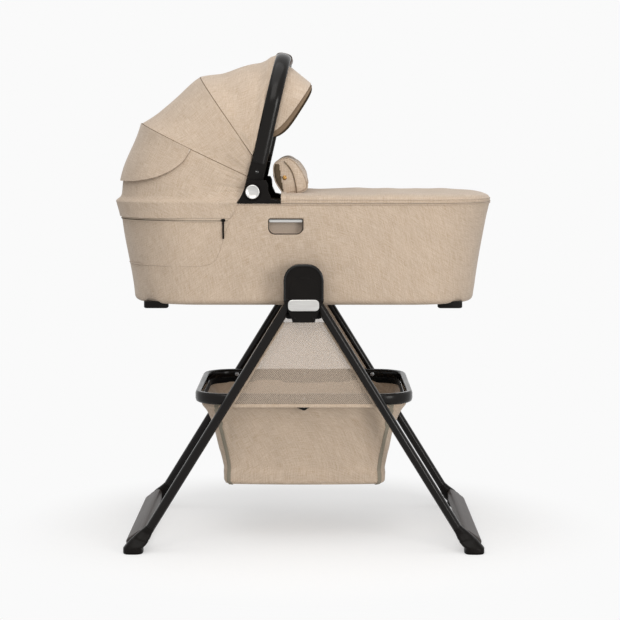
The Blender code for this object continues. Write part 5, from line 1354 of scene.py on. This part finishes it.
rings = []
for y, size in ((-1.0, 0.87), (-0.991, 0.93), (-0.975, FLAP_SIZE), (0.0, FLAP_SIZE), (0.975, FLAP_SIZE),
                (0.991, 0.93), (1.0, 0.87)):
    rings.append(flap_ring(y * (FLAP_HALF - 0.003), size))
flap_melange = melange("beige_melange_on_pads", *BEIGE_YARNS, sheen=0.3, solid=True)
flap = filled("boot_flap_pad", skin(rings), 0.004, 0.005, flap_melange)
flap.data.materials.append(flap_painted_shade)
for face in flap.data.polygons:
    # painted shade in brown: the open side, which faces the canopy, and on the end faces what lies behind a
    # slanted line
    x, _, z = face.center
    painted_shade_edge = FLAP_X + 0.0030 + 0.16 * (low + 0.066 - z)
    end_face = abs(face.normal.y) > 0.6 and x < painted_shade_edge
    face.material_index = 1 if z < low + 0.068 and (face.normal.x < -0.55 or end_face) else 0
fit(flap, "bassinet", ["boot_flap"])
for side_name, side in SIDES.items():
    line = flap_ring(side * (FLAP_HALF - 0.0060), 0.95)
    fit(cord_along(f"boot_flap_piping_{side_name}", line, 0.0012, beige_melange, flatten=1.0, joined=True),
        "bassinet")
    # each end's fold is a cord coloured in painted shade
    fold = through([(FLAP_X + x, low + z) for x, z in FLAP_FOLD], 60)
    line = [(x, side * (FLAP_HALF + 0.0004), z) for x, z in fold]
    fit(cord_along(f"boot_flap_fold_{side_name}", line, 0.0012, beige_painted_shade, flatten=0.7), "bassinet")

# Brass snap caps, tarnished a little: a fine mottle of paler and darker brass.
aged_brass = surface("aged_brass", ("7B5A33", "C79A5B"), (700.0,), gloss=(0.25, 0.45),
                     more={"Metallic": 1.0})
for side_name in SIDES:
    snap = dressed(f"flap_snap_{side_name}", f"brass_snap_{side_name}", aged_brass, "bassinet", bevel=0.0005)
    snap.data.transform(Matrix.Translation((0.0056, 0.0, 0.0065)))


# Carry handle
# A flattened black tube bent over the tub, its ends in moulded knuckles that turn in forked brackets on the
# rim. Each knuckle has a round silver release button. The middle of the tube is wrapped in stitched brown
# leatherette.

HANDLE_X, HANDLE_Z, HANDLE_Y = -0.109, 0.774, 0.202
HANDLE_ANGLE, HANDLE_REACH = math.radians(77.3), 0.305
BAIL_WIDE, BAIL_THICK, BAIL_CORNER = 0.033, 0.018, 0.110
KNUCKLE_TOP, KNUCKLE_OUT, EAR_THICK = 0.062, 0.2105, 0.010
GRIP_HALF, GRIP_WALL = 0.075, 0.0015
handle_up = np.array([math.cos(HANDLE_ANGLE), 0.0, math.sin(HANDLE_ANGLE)])
handle_back = np.array([-math.sin(HANDLE_ANGLE), 0.0, math.cos(HANDLE_ANGLE)])
handle_root = np.array([HANDLE_X, 0.0, HANDLE_Z])


def on_handle(y, reach, back=0.0):
    """A point in the handle's plane: across the tub, up the handle and behind it."""
    return handle_root + handle_up * reach + handle_back * back + np.array([0.0, y, 0.0])


PACKED_ANGLE = math.radians(79.0)
# where each bracket's back slope starts, how long and how steep it is
BACK_X, BACK_LONG, BACK_LEAN = -0.112, 0.029, 0.30
to_pin = Matrix.Translation(handle_root)
for side_name in SIDES:
    bracket = dressed(f"handle_base_{side_name}", f"handle_bracket_{side_name}", black_moulding, "bassinet",
                      bevel=0.0012, segments=3)
    for vertex in bracket.data.vertices:
        # the back edge leans forwards
        x, _, z = vertex.co
        vertex.co.x += BACK_LEAN * max(z - RIM_TOP, 0.0) * min(max((BACK_X - x) / BACK_LONG, 0.0), 1.0)
    knuckle = dressed(f"handle_knuckle_{side_name}", f"handle_knuckle_moulding_{side_name}", black_moulding,
                      "handle", bevel=0.0010, segments=3)
    knuckle.data.transform(to_pin @ Matrix.Rotation(PACKED_ANGLE - HANDLE_ANGLE, 4, "Y") @ to_pin.inverted())

top = HANDLE_REACH - BAIL_THICK / 2
side_run = [(HANDLE_Y, r) for r in np.linspace(KNUCKLE_TOP + GAP, top - BAIL_CORNER, 16)]
bend = arc(HANDLE_Y - BAIL_CORNER, top - BAIL_CORNER, BAIL_CORNER, 0, 90, 33)
flat_line = side_run + bend[1:]
flat_line += [(-y, r) for y, r in reversed(flat_line)]
bail = swept([on_handle(y, r) for y, r in flat_line], oval(BAIL_WIDE / 2, BAIL_THICK / 2, 2.1, 48),
             handle_back)
place("carry_handle_tube", bail, black_anodised, "handle", ["carry_handle"])

# Leatherette: a fine pebbled grain of 0.8 mm cells, drawn at 2 mm, brown with darker creases between the
# pebbles.
leatherette = surface("brown_pebbled_leatherette", ("6A5344", "3E2E26"),
                      (480.0, 0.0, None, "SMOOTH_F1"), bump=(0.35, -0.0006),
                      more={"Coat Weight": 0.1, "Coat Roughness": 0.3})
rings = []
for y, grow in ((-1.0, GRIP_WALL * 0.7), (-0.985, GRIP_WALL), (0.985, GRIP_WALL), (1.0, GRIP_WALL * 0.7),
                (1.0, 0.0)):
    section = oval(BAIL_WIDE / 2 + GAP + grow, BAIL_THICK / 2 + GAP + grow, 2.6, 48)
    rings.append([on_handle(y * GRIP_HALF, top + v, u) for u, v in section])
inner = oval(BAIL_WIDE / 2 + GAP, BAIL_THICK / 2 + GAP, 2.8, 48)
rings += [[on_handle(y * GRIP_HALF, top + v, u) for u, v in inner] for y in (1.0, -1.0)]
place("leatherette_grip", skin(rings, joined=True), leatherette, "handle", ["handle_grip"])
seam_reach = top - BAIL_THICK / 2 - GAP - GRIP_WALL - 0.0001
seam_line = [on_handle(y, seam_reach) for y in np.linspace(-GRIP_HALF + 0.004, GRIP_HALF - 0.004, 60)]
sewn("grip_stitches", seam_line, "handle", pitch=0.0035, long=0.0026)

# Release buttons: turned discs with a dished face, in a black collar that shows as a ring round each. Radius
# and distance out from the bracket's ear at each step.
EAR_OUT = KNUCKLE_OUT + 0.0004 + EAR_THICK
BUTTON_DISC = ((0.0122, -0.005), (0.0122, 0.0040), (0.0150, 0.0040), (0.0150, 0.0047), (0.0147, 0.0053),
               (0.0140, 0.0057), (0.0128, 0.0056), (0.0122, 0.0051), (0.0105, 0.0045), (0.0070, 0.0041),
               (0.0035, 0.0039), (0.0010, 0.0038))
BUTTON_COLLAR = ((0.0156, -0.0006), (0.0156, 0.0030), (0.0160, 0.0036), (0.0176, 0.0036), (0.0186, 0.0022),
                 (0.0188, -0.0006))
# The tube is fixed in each knuckle by a screw: a dark round head, with two tiny bright nickel dots on it as
# painted highlights.
SCREW_HEAD = ((0.0044, -0.001), (0.0044, 0.0003), (0.0041, 0.0006), (0.0010, 0.0006))
for side_name, side in SIDES.items():
    disc = skin(turned(HANDLE_X, HANDLE_Z, [(r, EAR_OUT + y) for r, y in BUTTON_DISC], side))
    place(f"silver_button_{side_name}", disc, satin_nickel, f"button_{side_name}",
          [f"handle_button_{side_name}"])
    collar = skin(turned(HANDLE_X, HANDLE_Z, [(r, EAR_OUT + y) for r, y in BUTTON_COLLAR], side), joined=True)
    place(f"button_collar_{side_name}", collar, black_moulding, "bassinet")
    angles = np.linspace(0, 2 * math.pi, 32, endpoint=False)
    rings = [[on_handle(side * (KNUCKLE_OUT + y), 0.043 + r * math.sin(a), r * math.cos(a)) for a in angles]
             for r, y in SCREW_HEAD]
    place(f"knuckle_screw_head_{side_name}", skin(rings), polished_rim, "handle")
    # two painted highlights on the screw head
    spots = [on_handle(side * (KNUCKLE_OUT + 0.0006), 0.0435, b) for b in (0.0019, -0.0019)]
    grown(f"knuckle_screws_{side_name}", rivets, spots,
          {radius_in: 0.0008, height_in: 0.0004, metal_in: satin_nickel}, [(0.0, side, 0.0)] * 2, "handle")


# Canopy
# A fan of three melange panels between the handle, two thin bows and the rim. Fine seams run over the bows, a
# vent flap covers the back, and the last panel drops as a skirt over the rim to the zip.

FAN_X, FAN_Z = -0.0565, 0.7759
CANOPY_HALF, CANOPY_CORNER = 0.208, 0.150
EDGE_BACK, EDGE_LEAN = 0.0725, 0.26
BOW_FRONT, BOW_REAR, SEAM_GAP = 125.0, 154.34, 0.12
PANEL_COLUMNS = 210


def canopy_arch(row):
    """One arch of cloth at a row's place, angle, start, top, half width and draw, from the right side to the
    left."""
    x, z, angle, start, crown, wide, draw = row
    span = crown - CANOPY_CORNER - start
    sides = [(wide - draw, start), (wide - draw * 0.45, start + 0.35 * span),
             (wide - draw * 0.1, start + 0.75 * span)]
    bend_points = arc(wide - CANOPY_CORNER, crown - CANOPY_CORNER, CANOPY_CORNER, 0, 90, 24)
    right = through(sides + bend_points[:1], 40).tolist() + bend_points[1:]
    a = math.radians(angle)
    line = [(x + r * math.cos(a), y, z + r * math.sin(a))
            for y, r in right + [(-y, r) for y, r in reversed(right)]]
    return spaced(line, PANEL_COLUMNS)


def fan_start(angle):
    """How far from the fan's centre the cloth starts: on the line of the handle's and the bracket's back
    edges."""
    return EDGE_BACK / (abs(math.cos(math.radians(angle))) + EDGE_LEAN * math.sin(math.radians(angle)))


def panel_grid(rows, count):
    """The rows of a panel, many of them, as a grid of points."""
    return np.array([canopy_arch(row) for row in through(rows, count)])


def gathers(grid, reach, rows_share, seed):
    """How far the cloth wrinkles: soft swells everywhere, and a few gathers that fan out from the pivot."""
    angle = np.arctan2(grid[:, :, 2] - FAN_Z, grid[:, :, 0] - FAN_X)
    inner = np.exp(-(((reach - 0.09) / 0.045) ** 2)) * (np.abs(grid[:, :, 1]) > 0.17)
    rays = np.sin(angle * 31 + seed) * np.sin(angle * 9.7 + 1.7 * seed)
    rays += 0.5 * np.sin(angle * 67 + 2.0 * seed + reach * 30)
    soft = wander(grid, 0.24, seed) * 0.0011 + wander(grid, 0.085, seed + 1) * 0.0004
    edge = np.clip(np.minimum(rows_share, 1 - rows_share) / 0.10, 0, 1)[:, None]
    return (0.0006 * rays * inner + soft) * edge, inner * rays * edge


def follow(piece, node, weights):
    """Bakes a piece's place into its mesh and hides the node that it stands for.
    The weights, each point's share of the body's turn, are not used."""
    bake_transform(piece)
    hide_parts(node)


def panel(name, rows, count, seed, share_at, sink=0.0):
    """A canopy panel: its grid, wrinkles and cloth, baked in place, with the node it stands for hidden."""
    grid = panel_grid(rows, count)
    share = np.linspace(0, 1, count)
    reach = np.hypot(grid[:, :, 0] - FAN_X, grid[:, :, 2] - FAN_Z)
    outward = -normals_of(grid)
    push, folds = gathers(grid, reach, share, seed)
    # between its seams the cloth is pulled a little inwards
    push -= sink * np.sin(np.pi * share)[:, None] * np.clip((reach - 0.12) / 0.08, 0, 1)
    from_edge = np.arange(PANEL_COLUMNS)
    push *= np.clip((from_edge + 1) / 14, 0, 1) * np.clip((PANEL_COLUMNS - from_edge) / 14, 0, 1)
    grid += outward * push[:, :, None]
    # painted shade in the gathers' hollows and near the pivot
    shade = 1 - 0.05 * (folds < -0.3) - 0.06 * np.exp(-(((reach - 0.07) / 0.03) ** 2))
    piece = cloth(f"{name}_cloth", grid, FABRIC * 0.6, beige_melange, flip=True, shade=shade,
                  inside=pale_lining)
    follow(piece, name, np.repeat([share_at(s) for s in share], PANEL_COLUMNS))
    return piece, grid


front_root = on_handle(0.0, 0.0, BAIL_WIDE / 2 + GAP)
handle_degrees = math.degrees(HANDLE_ANGLE)
# share of the way from the handle to the front bow, where the cloth starts, and its top
FRONT_ROWS = ((0.0, 0.080, 0.3005), (0.07, 0.084, 0.2947), (0.15, 0.085, 0.2823), (0.25, 0.0855, 0.2757),
              (0.5, 0.0865, 0.2709), (0.75, 0.0890, 0.2753), (1.0, 0.0925, 0.3000))
rows = []
for t, start, crown in FRONT_ROWS:
    rows.append((front_root[0] + (FAN_X - front_root[0]) * t, front_root[2] + (FAN_Z - front_root[2]) * t,
                 handle_degrees + (BOW_FRONT - SEAM_GAP - handle_degrees) * t, start, crown,
                 CANOPY_HALF - 0.001 * (1 - t), 0.004))
front, front_grid = panel("canopy_front", rows, 90, 61, lambda s: 1.0 - 0.35 * s)

rows = []
for k, crown in enumerate((0.3000, 0.2987, 0.2998, 0.3046, 0.3146, 0.3325)):
    angle = BOW_FRONT + SEAM_GAP + (BOW_REAR - BOW_FRONT - 2 * SEAM_GAP) * k / 5
    rows.append((FAN_X, FAN_Z, angle, fan_start(angle), crown, CANOPY_HALF + 0.002 * k / 5, 0.010))
middle, middle_grid = panel("canopy_middle", rows, 96, 73, lambda s: 1.0 - 0.677 * s,
                            sink=0.0008)

REAR_ROWS = ((BOW_REAR + SEAM_GAP, 0.3325), (158.0, 0.3303), (162.0, 0.3309), (166.0, 0.3342),
             (170.3, 0.3390), (174.5, 0.3434), (178.1, 0.3465))
SKIRT_ROWS = ((RIM_TOP + 0.003, 0.0858), (TUB_TOP - 0.0005, 0.0870), (TUB_TOP - 0.014, 0.0915),
              (ZIP_Z + ZIP_TALL / 2 + GAP, 0.1015))
rows = []
for angle, crown in REAR_ROWS:
    wide = CANOPY_HALF + 0.002 + 0.0003 * (angle - 155) / 2
    rows.append((FAN_X, FAN_Z, angle, fan_start(angle), crown, wide, 0.010))
rear_rows = list(rows)
rows.append((FAN_X, FAN_Z - 0.013, 180.0, 0.0785, 0.3560, CANOPY_HALF + 0.0065, 0.003))
for z, start in SKIRT_ROWS:
    head, _, side = tub_extent(min(z, TUB_TOP))
    rows.append((FAN_X, z, 180.0, start, head + FAN_X + FABRIC + 0.0006, side + FABRIC + 0.0006, 0.0))
rear, rear_grid = panel("canopy_rear", rows, 110, 87, lambda s: max(0.0, 1.0 - s / 0.45))

# Grey pultruded fibre rod: satin, with fine streaks.
grey_rod = surface("grey_fibre_rod", ("5F5B57", "7C7772"), (300.0,))

# A fine seam rides each bow. The rod lies 5 mm under it, draws in beside the bracket and ends on the handle's
# pin.
ROD_EYE = ((0.0042, -0.0016), (0.0075, -0.0016), (0.0075, 0.0016), (0.0042, 0.0016))
rod_flat = np.array([math.cos(math.radians(90 - handle_degrees)), 0.0, 0.4])
seams = []
for end_name, grid, beyond, eye_y in (("front", front_grid, middle_grid, 0.1795),
                                      ("rear", middle_grid, rear_grid, 0.1755)):
    outward = -normals_of(grid)[-1]
    line = spaced((grid[-1] + beyond[0]) / 2 - outward * 0.0004, 300)
    # the seam's cord is coloured in painted shade
    seams.append(cord_along(f"canopy_seam_{end_name}", line, 0.0011, beige_painted_shade))
    fit(seams[-1], f"bow_{end_name}")
    under = grid[-1] - outward * 0.005
    bend_x, bend_z = HANDLE_X + 0.3 * (under[8][0] - HANDLE_X), HANDLE_Z + 0.3 * (under[8][2] - HANDLE_Z)
    right = np.array([(HANDLE_X, eye_y, HANDLE_Z), (bend_x, eye_y, bend_z)])
    left = right[::-1] * np.array([1.0, -1.0, 1.0])
    line = spaced(through(np.concatenate([right, under[8:-8:12], left]), 160), 150)
    rod = swept(line, oval(0.0035, 0.0018, 2.4, 16), rod_flat)
    for side in SIDES.values():
        skin(turned(HANDLE_X, HANDLE_Z, [(r, eye_y + y) for r, y in ROD_EYE], side, 24), joined=True, bm=rod)
    place(f"bow_{end_name}_rod", rod, grey_rod, f"bow_{end_name}", [f"bow_{end_name}"])

# Vent flap: a loose layer from the rear seam down over the back, with a rounded lower edge.
VENT_FROM, VENT_ROWS = 34, 46
vent_rows = [(x, z, angle, start, crown + 0.0030, wide + 0.0030, draw)
             for x, z, angle, start, crown, wide, draw in rear_rows]
columns = np.arange(VENT_FROM, PANEL_COLUMNS - VENT_FROM)
across = np.abs(columns - (PANEL_COLUMNS - 1) / 2) / ((PANEL_COLUMNS - 1) / 2 - VENT_FROM)
extent = 0.93 * (1 - np.clip(across, 0, 1) ** 6) ** (1 / 2.2)
fine = panel_grid(vent_rows, 161)
share = np.linspace(0, 1, VENT_ROWS)
grid = np.array([[fine[int(round(160 * max(e, 0.02) * s)), c] for c, e in zip(columns, extent)]
                 for s in share])
lift = 0.0022 * share[:, None] ** 2 + wander(grid, 0.11, 97) * 0.0005 * share[:, None]
grid -= normals_of(grid) * lift[:, :, None]
vent = cloth("vent_flap_cloth", grid, 0.0012, beige_melange, flip=True, inside=pale_lining)
follow(vent, "vent_flap", 1.0 - 0.75 * share[:, None] * extent[None, :])


# Visor
# A stiffened peak of melange in front of the handle, lined with dark twill, with a broad hem below its
# edge, coloured brown-beige as painted shade.

VISOR_START, VISOR_LONG, VISOR_HEM, VISOR_KINK = 0.128, 0.0760, 0.0105, 0.024
FALLS = (-29.0, -39.0)  # how far it leans down at its middle, in degrees, before and after the kink
VISOR_ROWS = 30
visor_top = HANDLE_REACH - BAIL_THICK - GRIP_WALL - 3 * GAP
visor_wide = HANDLE_Y - BAIL_THICK / 2 - GAP
visor_corner = BAIL_CORNER - BAIL_THICK / 2 + 0.0003
right = [(visor_wide, r)
         for r in VISOR_START + (visor_top - visor_corner - VISOR_START) * np.linspace(0, 1, 22) ** 1.8]
right += arc(visor_wide - visor_corner, visor_top - visor_corner, visor_corner, 0, 90, 26)[1:]
steps = np.linspace(0, 1, VISOR_ROWS)
lanes = []
for y, reach in right + [(-y, r) for y, r in reversed(right)]:
    rise = (reach - VISOR_START) / (visor_top - VISOR_START)
    long = max(VISOR_LONG * rise**0.42, 0.004) * steps
    bent = np.minimum(long, VISOR_KINK)
    first, later = [np.array([math.cos(a), 0.0, math.sin(a)]) for a in np.radians(FALLS) * rise**2]
    lanes.append(on_handle(y, reach) + first * bent[:, None] + later * (long - bent)[:, None])
grid = np.array(lanes).transpose(1, 0, 2)
waves = wander(grid, 0.12, 111) * 0.0006
grid = grid + normals_of(grid) * waves[:, :, None] * np.sin(np.pi * steps)[:, None, None]
visor = cloth("visor_cloth", grid, FABRIC, beige_melange, inside=brown_twill)
fit(visor, "visor", ["canopy_visor"])
# the hem goes on past the edge, pointing down along the handle at the sides and onwards at the top
edge, normal = grid[-1], normals_of(grid)[-1]
tangent = np.gradient(edge, axis=0)
tangent /= np.linalg.norm(tangent, axis=1)[:, None]
onward = np.cross(tangent, normal)
onward *= np.sign((onward * (grid[-1] - grid[-3])).sum(axis=1))[:, None]
hem_wide = VISOR_HEM * (0.35 + 0.65 * np.clip(1.15 - (edge[:, 2] - edge[:, 2].min()) / 0.11, 0, 1))[:, None]
hem_start = edge - normal * 0.0022 - onward * 0.004
hem_grid = np.array([hem_start + onward * (hem_wide + 0.004) * s for s in np.linspace(0, 1, 6)])
# the hem's brown-beige is painted shade
hem = cloth("visor_hem", hem_grid, 0.0014, beige_painted_shade, inside=brown_twill)
fit(hem, "visor")


# Shell at rest
# The stretched cloth draws the shell in by 5 mm at both ends, and by up to 10 mm at the rim. All that is
# fixed there, from the rim tube to the zip, goes along, so the layers keep their distances.

HEAD_PULL, FOOT_PULL = (0.0055, 0.0052), (0.0050, 0.0035)  # everywhere, and more at the rim
kept = set(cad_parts.values()) | {floor}
for piece in [thing for thing in scene.objects if thing.type == "MESH" and thing not in kept]:
    mesh = piece.data
    spots = np.empty(len(mesh.vertices) * 3)
    mesh.vertices.foreach_get("co", spots)
    spots = spots.reshape(-1, 3)
    far_out = np.clip((np.abs(spots[:, 0]) - 0.20) / 0.20, 0, 1)
    low_down = np.clip((0.800 - spots[:, 2]) / 0.045, 0, 1) * (spots[:, 2] > 0.50)
    share = far_out**2 * (3 - 2 * far_out) * low_down**2 * (3 - 2 * low_down)
    if share.max() > 0:
        rim_share = np.exp(-(((spots[:, 2] - 0.735) / 0.045) ** 2))
        head_pull, foot_pull = (base + more * rim_share for base, more in (HEAD_PULL, FOOT_PULL))
        spots[:, 0] += share * np.where(spots[:, 0] < 0, head_pull, -foot_pull)
        mesh.vertices.foreach_set("co", spots.ravel())
        mesh.update()
